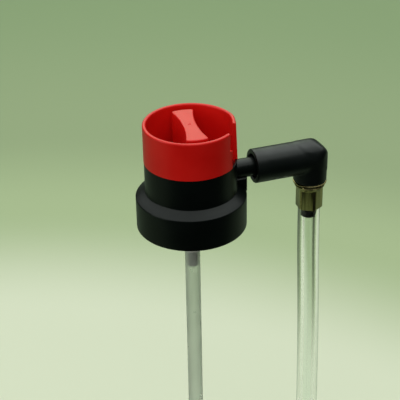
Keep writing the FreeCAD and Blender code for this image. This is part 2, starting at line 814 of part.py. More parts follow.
def make_elbow():
    """Mitred elbow with a bevelled outer corner, a push-on socket and a hose barb."""
    reach, mouth = size("elbow_reach"), size("elbow_mouth")
    arm_radius, leg_radius = size("arm_radius"), size("leg_radius")
    arm = cylinder("elbow_arm", arm_radius, reach - mouth, mouth, spigot_height, upright=False)
    doc.recompute()
    rim = next(
        i for i, edge in enumerate(arm.Shape.Edges, start=1)
        if edge.Closed and abs(edge.BoundBox.XMax - mouth.number) < 1e-4)
    arm_round = doc.addObject("Part::Fillet", "elbow_arm_round")
    arm_round.Base = arm
    round_radius = size("edge_round").number
    arm_round.Edges = [(rim, round_radius, round_radius)]
    end = cylinder("elbow_end", arm_radius, leg_radius + cutter_margin, reach, spigot_height, upright=False)
    post = cylinder("elbow_post", leg_radius, size("leg_drop") + arm_radius + cutter_margin, reach, leg_base)
    corner = doc.addObject("Part::MultiCommon", "elbow_corner")
    corner.Shapes = [end, post]
    leg = cylinder("elbow_leg", leg_radius, size("leg_drop"), reach, leg_base)
    neck = cylinder("elbow_neck", size("neck_radius"), size("neck_length") + cutter_margin, reach, neck_base)
    barb_foot = neck_base - size("barb_length")
    barb = cylinder("elbow_barb", barb_radius, size("barb_length") + cutter_margin, reach, barb_foot)
    shell = doc.addObject("Part::MultiFuse", "elbow_shell")
    shell.Shapes = [arm_round, corner, leg, neck, barb]
    shell.Refine = True

    # A prism over the outer corner, whose sloping face cuts the bevel.
    run, rise = size("bevel_run"), size("bevel_rise")
    corner_x, corner_z = reach + leg_radius, spigot_height + arm_radius
    half_depth = arm_radius + cutter_margin
    bevel = doc.addObject("Part::Wedge", "elbow_bevel")
    bevel.Placement.Rotation = FreeCAD.Rotation(FreeCAD.Vector(1, 0, 0), 90)
    for side, value in (
        ("Ymin", corner_z - rise), ("Xmin", corner_x), ("Xmax", corner_x + run),
        ("Ymax", corner_z + rise), ("X2min", corner_x - run * 2), ("X2max", corner_x + run),
        ("Zmin", -half_depth), ("Zmax", half_depth), ("Z2min", -half_depth), ("Z2max", half_depth),
    ):
        bind(bevel, side, value)

    socket_end = size("spigot_end") + size("socket_gap")
    socket_radius = size("spigot_radius") + size("slide_fit")
    socket = cylinder(
        "elbow_socket", socket_radius, socket_end - mouth + cutter_margin, mouth - cutter_margin,
        spigot_height, upright=False)
    lead_in = cylinder(
        "elbow_lead_in", size("mouth_radius"), size("mouth_depth") + cutter_margin, mouth - cutter_margin,
        spigot_height, upright=False)
    across = cylinder(
        "elbow_across", size("flow_bore"), reach - socket_end, socket_end, spigot_height, upright=False)
    down = cylinder(
        "elbow_down", size("flow_bore"), spigot_height - barb_foot + size("flow_bore") + cutter_margin, reach,
        barb_foot - cutter_margin)
    hollow = doc.addObject("Part::MultiFuse", "elbow_hollow")
    hollow.Shapes = [socket, lead_in, across, down, bevel]
    elbow = doc.addObject("Part::Cut", "elbow")
    elbow.Label = "elbow"
    elbow.Base = shell
    elbow.Tool = hollow
    elbow.Refine = True
    return elbow


def add_crimp_flats(body, name, top, length, along):
    """Six flats pressed into a ferrule by the crimping tool."""
    sketch = new_sketch(body, f"{name}_flat_sketch", "XY_Plane", off=top)
    half_flats, corner = size("crimp_flats") / 2, size("crimp_corner")
    beyond = corner + cutter_margin
    add_rectangle(sketch, half_flats + along, beyond + along, -corner, corner)
    flat = extrude(body, f"{name}_flat", sketch, length + cutter_margin, "Pocket")
    axis_sketch = new_sketch(body, f"{name}_axis", along=along)
    pattern = body.newObject("PartDesign::PolarPattern", f"{name}_flats")
    pattern.Originals = [flat]
    pattern.Axis = (axis_sketch, ["V_Axis"])
    pattern.Angle = 360
    pattern.Occurrences = 6
    body.Tip = pattern


def make_top_ferrule():
    """Brass ferrule: hexagon crimp on the hose below, flared lip round the elbow's neck above."""
    crimp_top = neck_base - size("flare_overlap")
    crimp_base = crimp_top - size("crimp_length")
    corner, chamfer = size("crimp_corner"), size("crimp_chamfer")
    lip_base = crimp_top + size("flare_height")
    lip_top = lip_base + size("lip_height")
    lip_bore = size("neck_radius") + size("slide_fit")
    body = turned_piece("top_ferrule", [
        (ferrule_bore, crimp_base),
        (corner - chamfer, crimp_base),
        (corner, crimp_base + chamfer),
        (corner, crimp_top),
        (size("lip_radius"), lip_base),
        (size("lip_radius"), lip_top, size("lip_wall") / 2),
        (size("lip_radius") - size("lip_wall"), lip_top),
        (lip_bore, lip_base),
        (lip_bore, neck_base),
        (ferrule_bore, neck_base),
    ], along=size("elbow_reach"))
    add_crimp_flats(
        body, "top_ferrule", crimp_top - chamfer, size("crimp_length") - chamfer, size("elbow_reach"))
    return body


def make_bottom_ferrule():
    """Plain crimped ferrule whose inturned rim meets the end of the hose."""
    corner, chamfer = size("crimp_corner"), size("crimp_chamfer")
    top = size("crimp_length") + hose_end_z
    base = -size("rim_thickness") + hose_end_z
    body = turned_piece("bottom_ferrule", [
        (size("spindle_radius") + size("slide_fit"), base),
        (corner - chamfer, base),
        (corner, base + chamfer),
        (corner, top - chamfer),
        (corner - chamfer, top),
        (ferrule_bore, top),
        (ferrule_bore, hose_end_z),
        (size("spindle_radius") + size("slide_fit"), hose_end_z),
    ], along=hose_end_x)
    add_crimp_flats(body, "bottom_ferrule", top + cutter_margin, size("crimp_length"), hose_end_x)
    return body


def hose_path():
    """Straight runs joined by tangent arcs, each arc as large as its two runs allow."""
    points = [FreeCAD.Vector(x, 0, z) for x, z in hose_route]
    edges = []
    start = points[0]
    for before, corner, after in zip(points, points[1:], points[2:]):
        back, ahead = (before - corner), (after - corner)
        trim = bend_share * min(back.Length, ahead.Length)
        half_turn = (math.pi - back.getAngle(ahead)) / 2
        radius = trim / math.tan(half_turn)
        print(f"hose bend at z {corner.z:.0f}: radius {radius:.0f}")
        back.normalize()
        ahead.normalize()
        entry, exit_point = corner + back * trim, corner + ahead * trim
        inward = (back + ahead).normalize()
        middle = corner + inward * (radius / math.cos(half_turn) - radius)
        edges.append(Part.LineSegment(start, entry).toShape())
        edges.append(Part.Arc(entry, middle, exit_point).toShape())
        start = exit_point
    edges.append(Part.LineSegment(start, points[-1]).toShape())
    return Part.Wire(edges)


def make_hose():
    """Clear hose swept along its route."""
    path = doc.addObject("Part::Feature", "hose_path")
    path.Shape = hose_path()
    spans = [f"Edge{i}" for i in range(1, len(path.Shape.Edges) + 1)]
    tubes = []
    for name, radius in (("hose_outside", size("hose_radius")), ("hose_inside", size("hose_bore"))):
        circle = doc.addObject("Part::Circle", f"{name}_circle")
        bind(circle, "Radius", radius)
        circle.Placement.Base = path.Shape.Vertexes[0].Point
        tube = doc.addObject("Part::Sweep", name)
        tube.Sections = [circle]
        tube.Spine = (path, spans)
        tube.Solid = True
        tubes.append(tube)
    hose = doc.addObject("Part::Cut", "hose")
    hose.Label = "hose"
    hose.Base, hose.Tool = tubes
    doc.recompute()
    section = math.pi * (size("hose_radius").number ** 2 - size("hose_bore").number ** 2)
    length = path.Shape.Length
    print(f"hose length {length:.2f}, volume {hose.Shape.Volume:.1f}")
    print(f"hose section times length {section * length:.1f}")
    return hose


# Chuck

def make_chuck_body():
    """Spindle with a hose barb above and the flange that the nut turns on below."""
    step = chuck_face + size("pin_bore_depth")
    barb_top = size("barb_length") + hose_end_z
    return turned_piece("chuck_body", [
        (size("flow_bore"), barb_top),
        (barb_radius, barb_top),
        (barb_radius, hose_end_z),
        (size("spindle_radius"), hose_end_z),
        (size("spindle_radius"), spindle_base),
        (size("flange_radius"), spindle_base),
        (size("flange_radius"), chuck_face),
        (size("pin_bore"), chuck_face),
        (size("pin_bore"), step),
        (size("flow_bore"), step),
    ], along=hose_end_x)


def make_chuck_washer():
    base = chuck_face - size("chuck_washer_thickness")
    inner, outer = size("chuck_washer_bore"), size("flange_radius")
    corners = [(inner, base), (outer, base), (outer, chuck_face), (inner, chuck_face)]
    return turned_piece("chuck_washer", corners, along=hose_end_x)


def make_core_pin():
    """Pin that presses the tyre valve's core, held in the bore by crossed fins."""
    body = new_body("core_pin")
    tip = chuck_face - size("chuck_washer_thickness") - size("core_pin_reach")
    fin_top = chuck_face + size("pin_bore_depth") - size("seal_gap")
    radius = size("core_pin_radius")
    shaft = new_sketch(body, "core_pin_profile", along=hose_end_x)
    add_outline(shaft, [(0, tip), (radius, tip), (radius, fin_top), (0, fin_top)])
    revolve(body, "core_pin_shaft", shaft)
    half_fin, reach = size("core_fin_width") / 2, size("pin_bore") - size("seal_gap")
    for name, wide, deep in (("fin_along", reach, half_fin), ("fin_across", half_fin, reach)):
        sketch = new_sketch(body, f"{name}_sketch", "XY_Plane", off=fin_top, along=hose_end_x)
        add_rectangle(sketch, -wide, wide, -deep, deep)
        extrude(body, name, sketch, size("pin_bore_depth") - size("core_pin_reach"), backwards=True)
    return body


def make_chuck_nut():
    """Fluted nut that turns on the spindle and screws onto the tyre's valve."""
    top = -size("rim_thickness") - size("nut_gap") + hose_end_z
    base = top - size("nut_length")
    shoulder = spindle_base + size("nut_play")
    thread_top = base + size("thread_length")
    radius, chamfer = size("nut_radius"), size("crimp_chamfer")
    body = turned_piece("chuck_nut", [
        (size("spindle_radius") + size("nut_fit"), top),
        (radius - chamfer * 2, top),
        (radius, top - chamfer * 2),
        (radius, base + chamfer),
        (radius - chamfer, base),
        (size("thread_radius") + chamfer, base),
        (size("thread_radius"), base + chamfer),
        (size("thread_radius"), thread_top),
        (size("nut_chamber"), thread_top),
        (size("nut_chamber"), shoulder),
        (size("spindle_radius") + size("nut_fit"), shoulder),
    ], along=hose_end_x)
    sketch = new_sketch(body, "flute_sketch", "XY_Plane", off=top + cutter_margin, along=hose_end_x)
    add_circle(sketch, size("flute_radius"), across=radius + size("flute_radius") - size("flute_depth"))
    flute = extrude(body, "flute", sketch, size("nut_length") - chamfer * 4, "Pocket")
    axis_sketch = new_sketch(body, "flute_axis", along=hose_end_x)
    pattern = body.newObject("PartDesign::PolarPattern", "flutes")
    pattern.Originals = [flute]
    pattern.Axis = (axis_sketch, ["V_Axis"])
    pattern.Angle = 360
    pattern.Occurrences = flute_count
    body.Tip = pattern
    return body


gland_ring_height = boss_top - size("washer_thickness") - ring_radius
stem_seal_height = boss_base + size("washer_thickness") + ring_radius
spigot_ring_radius = size("spigot_ring_section") / 2

pieces = [
    make_collar(),
    make_guard_ring(),
    make_knob(),
    seal_ring("gland_ring", knob_ring_mean, ring_radius, up=gland_ring_height),
    make_gland("gland_washer", knob_ring_mean, knob_gland_bore, boss_top, True),
    seal_ring("stem_seal", stem_ring_mean, ring_radius, up=stem_seal_height),
    make_gland("stem_washer", stem_ring_mean, stem_gland_bore, boss_base, False),
    make_mounting_cup(),
    make_cup_gasket(),
    make_stem_gasket(),
    make_valve_stem(),
    make_return_spring(),
    make_valve_housing(),
    make_dip_tube(),
    seal_ring(
        "spigot_ring", size("spigot_radius") + size("seal_gap") - spigot_ring_radius, spigot_ring_radius,
        size("spigot_end") - size("spigot_ring_place"), spigot_height, lying=False),
    make_elbow(),
    make_top_ferrule(),
    make_hose(),
    make_bottom_ferrule(),
    make_chuck_body(),
    make_chuck_washer(),
    make_core_pin(),
    make_chuck_nut(),
]

doc.recompute()
for thing in doc.Objects:
    if "Invalid" in thing.State or "Error" in thing.State:
        raise RuntimeError(f"{thing.Name} failed: {thing.State}")
for piece in pieces:
    if piece.Shape.isNull() or not piece.Shape.isValid() or not piece.Shape.Solids:
        raise RuntimeError(f"{piece.Label} has no valid solid")

os.makedirs("parts", exist_ok=True)
for piece in pieces:
    piece.Shape.exportStep(f"parts/{piece.Label}.step")
    box = piece.Shape.BoundBox
    print(
        f"{piece.Label}: {len(piece.Shape.Solids)} solid, volume {piece.Shape.Volume:.2f}, "
        f"x {box.XMin:.2f} {box.XMax:.2f}, z {box.ZMin:.2f} {box.ZMax:.2f}")
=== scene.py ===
import math

import bmesh
import bpy
import mathutils
import numpy as np
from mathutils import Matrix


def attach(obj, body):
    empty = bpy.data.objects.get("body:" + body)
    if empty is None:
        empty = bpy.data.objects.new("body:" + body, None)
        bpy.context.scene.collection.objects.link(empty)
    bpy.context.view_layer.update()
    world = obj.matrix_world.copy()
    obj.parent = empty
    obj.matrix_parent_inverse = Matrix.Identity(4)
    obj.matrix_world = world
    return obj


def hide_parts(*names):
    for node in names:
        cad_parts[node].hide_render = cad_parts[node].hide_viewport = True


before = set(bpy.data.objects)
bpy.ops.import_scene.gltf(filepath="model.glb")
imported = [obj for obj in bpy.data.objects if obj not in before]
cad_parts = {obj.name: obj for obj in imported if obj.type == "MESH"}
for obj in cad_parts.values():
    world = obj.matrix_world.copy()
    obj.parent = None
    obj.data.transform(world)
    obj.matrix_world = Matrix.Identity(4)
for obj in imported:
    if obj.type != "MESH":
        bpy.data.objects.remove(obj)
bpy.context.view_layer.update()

# Tyre inflator valve: two-tier collar, red guard ring and knob, swivel elbow and clear hose.
# The scene is in metres. The values of each piece are in millimetres and degrees.

mm = 0.001


# Shapes on grids

# Turns (across, up, rounding) corners into one closed line. A rounded corner P with unit ways a and
# b to its neighbours is the arc C + r (cos u, sin u), where C = P + (a + b) r / |a x b| and u runs
# between the tangent points.
def arcCorners(corners, steps=8):
    points = np.array([c[:2] for c in corners], float)
    back = np.roll(points, 1, axis=0) - points
    ahead = np.roll(points, -1, axis=0) - points
    back /= np.linalg.norm(back, axis=1)[:, None]
    ahead /= np.linalg.norm(ahead, axis=1)[:, None]
    line = []
    for corner, a, b, spec in zip(points, back, ahead, corners):
        radius = spec[2] if len(spec) > 2 else 0.0
        if radius <= 0:
            line.append(corner[None, :])
            continue
        cross = abs(a[0] * b[1] - a[1] * b[0])
        centre = corner + (a + b) * radius / cross
        trim = radius * (1 + a @ b) / cross
        first = corner + a * trim - centre
        last = corner + b * trim - centre
        start = math.atan2(first[1], first[0])
        turn = (math.atan2(last[1], last[0]) - start + math.pi) % (2 * math.pi) - math.pi
        angles = start + turn * np.linspace(0, 1, steps)
        line.append(centre + radius * np.stack([np.cos(angles), np.sin(angles)], axis=1))
    return np.concatenate(line)


# Adds points to a closed line so that no step is longer than the given length: P(k) = A + (B - A) k
# / n on each step, n = ceil(|B - A| / longest).
def refineLine(line, longest):
    following = np.roll(line, -1, axis=0)
    counts = np.maximum(1, np.ceil(np.linalg.norm(following - line, axis=1) / longest)).astype(int)
    owner = np.repeat(np.arange(len(line)), counts)
    place = np.arange(len(owner)) - np.repeat(np.cumsum(counts) - counts, counts)
    share = (place / counts[owner])[:, None]
    return line[owner] + (following[owner] - line[owner]) * share


# Revolves a closed (r, z) line about Z: P(u, v) = C + (r(u) cos v, r(u) sin v, z(u)).
def lathe(line, turns=128, centre=(0, 0, 0)):
    angle = np.linspace(0, 2 * math.pi, turns, endpoint=False)
    radius, height = line[:, 0][:, None], line[:, 1][:, None]
    flat = np.ones_like(angle)[None, :]
    grid = np.stack([radius * np.cos(angle), radius * np.sin(angle), height * flat], axis=2)
    return grid + np.array(centre), True, True


# Turns a shape about Z so that its axis lies along X: (x, y, z) becomes (z, y, -x).
def layAlongX(shape):
    grid, wrapU, wrapV = shape
    return np.stack([grid[..., 2], grid[..., 1], -grid[..., 0]], axis=2), wrapU, wrapV


def shift(shape, offset):
    grid, wrapU, wrapV = shape
    return grid + np.array(offset), wrapU, wrapV


# Quads between neighbours on a grid: (i, j), (i + 1, j), (i + 1, j + 1), (i, j + 1).
def gridFaces(rows, columns, wrapU, wrapV):
    index = np.arange(rows * columns).reshape(rows, columns)
    if wrapU:
        index = np.concatenate([index, index[:1]], axis=0)
    if wrapV:
        index = np.concatenate([index, index[:, :1]], axis=1)
    corners = [index[:-1, :-1], index[1:, :-1], index[1:, 1:], index[:-1, 1:]]
    return np.stack([c.ravel() for c in corners], axis=1)


# Volume inside closed quads: sum of a . (b x c) / 6 over their triangles.
def signedVolume(points, faces):
    a, b, c, d = (points[faces[:, k]] for k in range(4))
    first = np.einsum("ij,ij->i", a, np.cross(b, c)).sum()
    return (first + np.einsum("ij,ij->i", a, np.cross(c, d)).sum()) / 6


# Grids in millimetres become one mesh: points stacked, and each grid's quads moved on by the points
# before it.
def stackGrids(shapes):
    points, faces, start = [], [], 0
    for grid, wrapU, wrapV in shapes:
        points.append(grid.reshape(-1, 3))
        faces.append(gridFaces(grid.shape[0], grid.shape[1], wrapU, wrapV) + start)
        start += len(points[-1])
    return np.concatenate(points), np.concatenate(faces)


def makeMeshPiece(name, points, faces, sharpAngle):
    mesh = bpy.data.meshes.new(name)
    mesh.from_pydata(points * mm, [], faces)
    mesh.validate()
    closeSeams(mesh)
    mesh.polygons.foreach_set("use_smooth", np.ones(len(mesh.polygons), bool))
    mesh.set_sharp_from_angle(angle=math.radians(sharpAngle))
    piece = bpy.data.objects.new(name, mesh)
    bpy.context.scene.collection.objects.link(piece)
    return piece


# Turns quads round where the volume inside them is negative, so that they face outwards.
def faceOutwards(points, faces):
    return faces[:, ::-1] if signedVolume(points, faces) < 0 else faces


# A piece from closed grids, each a solid of its own.
def makePiece(name, shapes, sharpAngle=38):
    points, faces, start = [], [], 0
    for shape in shapes:
        ownPoints, ownFaces = stackGrids([shape])
        points.append(ownPoints)
        faces.append(faceOutwards(ownPoints - ownPoints.mean(axis=0), ownFaces) + start)
        start += len(ownPoints)
    return makeMeshPiece(name, np.concatenate(points), np.concatenate(faces), sharpAngle)


# A piece from open grids that close one solid together.
def makeShell(name, shapes, sharpAngle=38):
    points, faces = stackGrids(shapes)
    return makeMeshPiece(name, points, faceOutwards(points, faces), sharpAngle)


# Merges the points that lie on each other at poles and seams.
def closeSeams(mesh):
    work = bmesh.new()
    work.from_mesh(mesh)
    bmesh.ops.remove_doubles(work, verts=work.verts, dist=2e-7)
    bmesh.ops.dissolve_degenerate(work, edges=work.edges, dist=1e-7)
    work.to_mesh(mesh)
    work.free()


# Materials

def nodeMaterial(name):
    material = bpy.data.materials.new(name)
    material.use_nodes = True
    nodes = material.node_tree.nodes
    shader = nodes["Principled BSDF"]
    coordinates = nodes.new("ShaderNodeTexCoord")
    return material, nodes, material.node_tree.links, shader, coordinates.outputs["Object"]


def addNoise(nodes, links, source, scale, detail=3.0):
    noise = nodes.new("ShaderNodeTexNoise")
    noise.inputs["Scale"].default_value = scale
    noise.inputs["Detail"].default_value = detail
    links.new(source, noise.inputs["Vector"])
    return noise.outputs["Fac"]


# Maps 0..1 to low..high.
def addRange(nodes, links, source, low, high):
    spread = nodes.new("ShaderNodeMapRange")
    spread.inputs["To Min"].default_value = low
    spread.inputs["To Max"].default_value = high
    links.new(source, spread.inputs["Value"])
    return spread.outputs["Result"]


def addBump(nodes, links, source, shader, distance, strength=1.0):
    bump = nodes.new("ShaderNodeBump")
    bump.inputs["Distance"].default_value = distance
    bump.inputs["Strength"].default_value = strength
    links.new(source, bump.inputs["Height"])
    links.new(bump.outputs["Normal"], shader.inputs["Normal"])


# A maths node whose terms are outputs of other nodes or plain numbers.
def addMath(nodes, links, operation, *terms):
    step = nodes.new("ShaderNodeMath")
    step.operation = operation
    for socket, term in zip(step.inputs, terms):
        if isinstance(term, float):
            socket.default_value = term
        else:
            links.new(term, socket)
    return step.outputs["Value"]


# Colour that wanders between two shades.
def addTint(nodes, links, source, dark, light, shader):
    ramp = nodes.new("ShaderNodeValToRGB")
    ramp.color_ramp.elements[0].position = 0.35
    ramp.color_ramp.elements[1].position = 0.65
    ramp.color_ramp.elements[0].color = (*dark, 1)
    ramp.color_ramp.elements[1].color = (*light, 1)
    links.new(source, ramp.inputs["Fac"])
    links.new(ramp.outputs["Color"], shader.inputs["Base Color"])


# Stretches the pattern's space, so that its marks run along the axis with the smallest factor.
def stretchSpace(nodes, links, place, factors):
    space = nodes.new("ShaderNodeMapping")
    space.inputs["Scale"].default_value = factors
    links.new(place, space.inputs["Vector"])
    return space.outputs["Vector"]


# How often each pattern repeats along a metre.
patternScales = {
    "drift": 90.0, "wear": 260.0, "waves": 230.0, "grain": 3500.0,
    "metalWear": 900.0, "metalTint": 0.25, "haze": 150.0, "drawnMarks": 420.0,
}


# Moulded plastic: slow colour drift, uneven gloss, and a bump of fine grain over slow waves:
# height = grain + waves * waveShare.
def mouldedPlastic(name, dark, light, gloss, grainDepth, specular=0.5, waveShare=0.0):
    material, nodes, links, shader, place = nodeMaterial(name)
    addTint(nodes, links, addNoise(nodes, links, place, patternScales["drift"]), dark, light, shader)
    wear = addNoise(nodes, links, place, patternScales["wear"], 5.0)
    links.new(addRange(nodes, links, wear, *gloss), shader.inputs["Roughness"])
    waves = addNoise(nodes, links, place, patternScales["waves"], 1.5)
    grain = addNoise(nodes, links, place, patternScales["grain"], 2.0)
    height = addMath(nodes, links, "MULTIPLY_ADD", waves, waveShare, grain)
    addBump(nodes, links, height, shader, grainDepth, 0.35)
    shader.inputs["Specular IOR Level"].default_value = specular
    return material


# Drawn or turned metal: colour and fine marks that run along the stretched axis, and uneven gloss.
def metal(name, dark, light, gloss, scratchDepth, factors=(1, 1, 1), markScale=2600.0):
    material, nodes, links, shader, place = nodeMaterial(name)
    shader.inputs["Metallic"].default_value = 1.0
    marks = stretchSpace(nodes, links, place, factors)
    tint = addNoise(nodes, links, marks, markScale * patternScales["metalTint"], 4.0)
    addTint(nodes, links, tint, dark, light, shader)
    wear = addNoise(nodes, links, place, patternScales["metalWear"], 6.0)
    links.new(addRange(nodes, links, wear, *gloss), shader.inputs["Roughness"])
    addBump(nodes, links, addNoise(nodes, links, marks, markScale, 4.0), shader, scratchDepth, 0.4)
    return material


# Clear tube wall: refracts, with faint marks along Z from drawing.
def clearPlastic(name, tint, gloss, markDepth, factors=(1, 1, 0.02)):
    material, nodes, links, shader, place = nodeMaterial(name)
    shader.inputs["Transmission Weight"].default_value = 1.0
    shader.inputs["IOR"].default_value = 1.5
    shader.inputs["Base Color"].default_value = (*tint, 1)
    haze = addNoise(nodes, links, place, patternScales["haze"], 3.0)
    links.new(addRange(nodes, links, haze, *gloss), shader.inputs["Roughness"])
    space = stretchSpace(nodes, links, place, factors)
    marks = addNoise(nodes, links, space, patternScales["drawnMarks"], 1.0)
    addBump(nodes, links, marks, shader, markDepth, 0.3)
    return material


def dress(piece, material, body, slot, *nodes):
    piece.data.materials.clear()
    piece.data.materials.append(material)
    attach(piece, body)
    if nodes:
        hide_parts(*nodes)
    return piece


print("materials")
blackPlastic = mouldedPlastic(
    "satinBlack", (0.001, 0.002, 0.0016), (0.002, 0.0034, 0.003), (0.29, 0.37), 0.00002, 0.3)
elbowPlastic = mouldedPlastic(
    "softBlack", (0.002, 0.0035, 0.003), (0.004, 0.0058, 0.0052), (0.20, 0.52), 0.00002, 0.42, 8.0)
redPlastic = mouldedPlastic(
    "capRed", (0.62, 0.006, 0.004), (0.68, 0.010, 0.007), (0.29, 0.39), 0.000015, 0.38)
blackRubber = mouldedPlastic(
    "sealRubber", (0.012, 0.012, 0.012), (0.02, 0.02, 0.02), (0.55, 0.65), 0.00002)
whitePlastic = mouldedPlastic(
    "housingNylon", (0.66, 0.66, 0.60), (0.74, 0.74, 0.69), (0.33, 0.43), 0.00001)
springSteel = metal("springSteel", (0.42, 0.42, 0.43), (0.60, 0.60, 0.61), (0.18, 0.35), 0.000004)
tinplate = metal("tinplate", (0.52, 0.52, 0.50), (0.66, 0.66, 0.63), (0.20, 0.37), 0.000004)
brass = metal(
    "crimpedBrass", (0.30, 0.245, 0.10), (0.66, 0.55, 0.26), (0.14, 0.32), 0.00001, (1, 1, 0.04), 3200.0)
clearHose = clearPlastic("clearHose", (0.95, 0.98, 0.96), (0.0, 0.015), 0.000003)
dipPlastic = clearPlastic("dipTubePlastic", (0.85, 0.88, 0.86), (0.17, 0.5), 0.00001)


# Camera

# The place is in millimetres, the angles in degrees, and the lens for a sensor 36 mm wide.
cameraView = {
    "place": (-98.0, -304.72, 191.35),
    "azimuth": 71.704,
    "pitch": -29.829,
    "roll": -1.067,
    "lens": 109.68,
}


def makeCamera(view):
    camera = bpy.data.cameras.new("photoView")
    camera.lens = view["lens"]
    camera.sensor_width = 36
    camera.clip_start = 0.01
    holder = bpy.data.objects.new("photoView", camera)
    holder.location = [value * mm for value in view["place"]]
    tilt = mathutils.Euler((math.radians(90 + view["pitch"]), 0, math.radians(view["azimuth"] - 90)))
    roll = mathutils.Matrix.Rotation(math.radians(view["roll"]), 3, "Z")
    holder.rotation_euler = (tilt.to_matrix() @ roll).to_euler()
    bpy.context.scene.collection.objects.link(holder)
    bpy.context.scene.camera = holder


print("camera")
makeCamera(cameraView)


# Hose

hoseValues = {
    "route": [
        (38.86, 6.8), (38.86, -12.0), (39.62, -34.0), (40.15, -58.0), (40.4, -84.0), (40.5, -112.0),
        (40.5, -140.0),
    ],
    "outside": 3.5,
    "bore": 1.5,
    "around": 64,
}


# The hose's own line: a NURBS curve whose control points are the route.
def routeCurve(points):
    curve = bpy.data.curves.new("hoseLine", "CURVE")
    curve.dimensions = "3D"
    curve.resolution_u = 24
    spline = curve.splines.new("NURBS")
    spline.points.add(len(points) - 1)
    for point, (x, z) in zip(spline.points, points):
        point.co = (x * mm, 0, z * mm, 1)
    spline.order_u = 3
    spline.use_endpoint_u = True
    return curve


def curvePoints(curve):
    holder = bpy.data.objects.new("hoseLine", curve)
    bpy.context.scene.collection.objects.link(holder)
    bpy.context.view_layer.update()
    mesh = bpy.data.meshes.new_from_object(holder)
    points = np.empty(len(mesh.vertices) * 3)
    mesh.vertices.foreach_get("co", points)
    bpy.data.objects.remove(holder)
    bpy.data.meshes.remove(mesh)
    return points.reshape(-1, 3)


# Carries a ring section along a line in the XZ plane. With tangent T and side N = Y x T: P(u, v) =
# C(u) + R (N cos v + Y sin v), once at the outside and back at the bore.
def tubeAlong(points, outside, bore, around):
    tangent = np.gradient(points, axis=0)
    tangent /= np.linalg.norm(tangent, axis=1)[:, None]
    across = np.array([0.0, 1.0, 0.0])
    side = np.cross(across, tangent)
    angle = np.linspace(0, 2 * math.pi, around, endpoint=False)
    ring = side[:, None, :] * np.cos(angle)[None, :, None] + across * np.sin(angle)[None, :, None]
    walls = [points[:, None, :] + ring * outside, (points[:, None, :] + ring * bore)[::-1]]
    return np.concatenate(walls), True, True


def makeHose(values):
    path = curvePoints(routeCurve(values["route"]))
    shape = tubeAlong(path / mm, values["outside"], values["bore"], values["around"])
    hose = makePiece("clearHoseTube", [shape])
    dress(hose, clearHose, "outlet", "clear_hose", "hose")
    length = float(np.linalg.norm(np.diff(path, axis=0), axis=1).sum())
    return hose, path, length


print("hose")
hose, hosePath, hoseLength = makeHose(hoseValues)


# Collar

collarValues = {
    "skirtRadius": 16.8, "skirtTop": 10.1, "skirtBore": 15.95, "footRound": 0.25, "skirtRound": 0.45,
    "shoulderTop": 12.2, "towerRadius": 13.9, "towerTop": 22.0, "towerBore": 12.6, "towerFootRound": 0.3,
    "towerTopRound": 0.1, "socketRadius": 13.35, "socketFloor": 20.3, "floorRound": 0.35,
    "ceiling": 8.1, "ledgeRadius": 12.0, "deckBase": 10.4, "deckTop": 11.8,
    "beadRadius": 15.55, "beadTop": 4.3, "beadHigh": 3.65, "beadLow": 2.95, "beadBase": 1.65,
    "edgeRound": 0.2, "bossRadius": 4.4, "bossTop": 17.9, "bossBase": 9.05, "glandBore": 2.55,
    "glandFloor": 16.55,
    "plungerBore": 1.6, "chamberTop": 16.25, "chamberRadius": 2.3, "chamberBase": 10.7,
    "stemBore": 2.05, "stemGlandBore": 3.0,
    "grooveStart": 18.632, "grooveLead": 3.2, "grooveTurn": 105.2, "grooveHalf": 0.6, "grooveDepth": 0.6,
    "grooveSoft": 0.14, "grooveHigh": 20.15, "grooveLow": 17.9, "groovesRound": 3,
    "spigotRadius": 2.95, "spigotBore": 1.2, "spigotHeight": 15.8, "spigotStart": 13.25, "spigotEnd": 29.5,
    "spigotRound": 0.3, "sealGrooveLow": 25.05, "sealGrooveHigh": 25.95, "sealGrooveRadius": 2.25,
    "outletRadius": 1.8, "outletBore": 0.6, "outletStart": 3.8,
    "gussetTop": 13.75, "gussetBase": 9.2, "gussetHalf": 2.75, "gussetStart": 13.3, "gussetEnd": 17.1,
    "gussetRound": 0.4, "gussetSlope": (0.45, 0.35),
}


# A rib with rounded upright edges and sloping long sides: a rounded rectangle outline whose inset
# across grows linearly from the slope's foot to the top, inset = run k, z = top - drop (1 - k). The
# inset along the rib is a small share of it.
def slopedRib(low, high, radius, run, drop, alongShare=0.12, steps=6):
    corners = [(low[0], low[1], radius), (high[0], low[1], radius), (high[0], high[1], radius),
               (low[0], high[1], radius)]
    outline = refineLine(arcCorners(corners, steps), 0.5)
    middle = (np.array(low[:2]) + np.array(high[:2])) / 2
    half = (np.array(high[:2]) - np.array(low[:2])) / 2
    share = np.linspace(0, 1, steps)
    inset = np.concatenate([[half[1]], [0.0], run * share, [half[1]]])
    height = np.concatenate([[low[2]], [low[2]], high[2] - drop * (1 - share), [high[2]]])
    limit = np.maximum(half[None, :] - inset[:, None] * np.array([alongShare, 1.0]), 0)
    shape = np.clip(outline[None, :, :] - middle, -limit[:, None, :], limit[:, None, :]) + middle
    rows = np.broadcast_to(height[:, None, None], (*shape.shape[:2], 1))
    return np.concatenate([shape, rows], axis=2), False, True


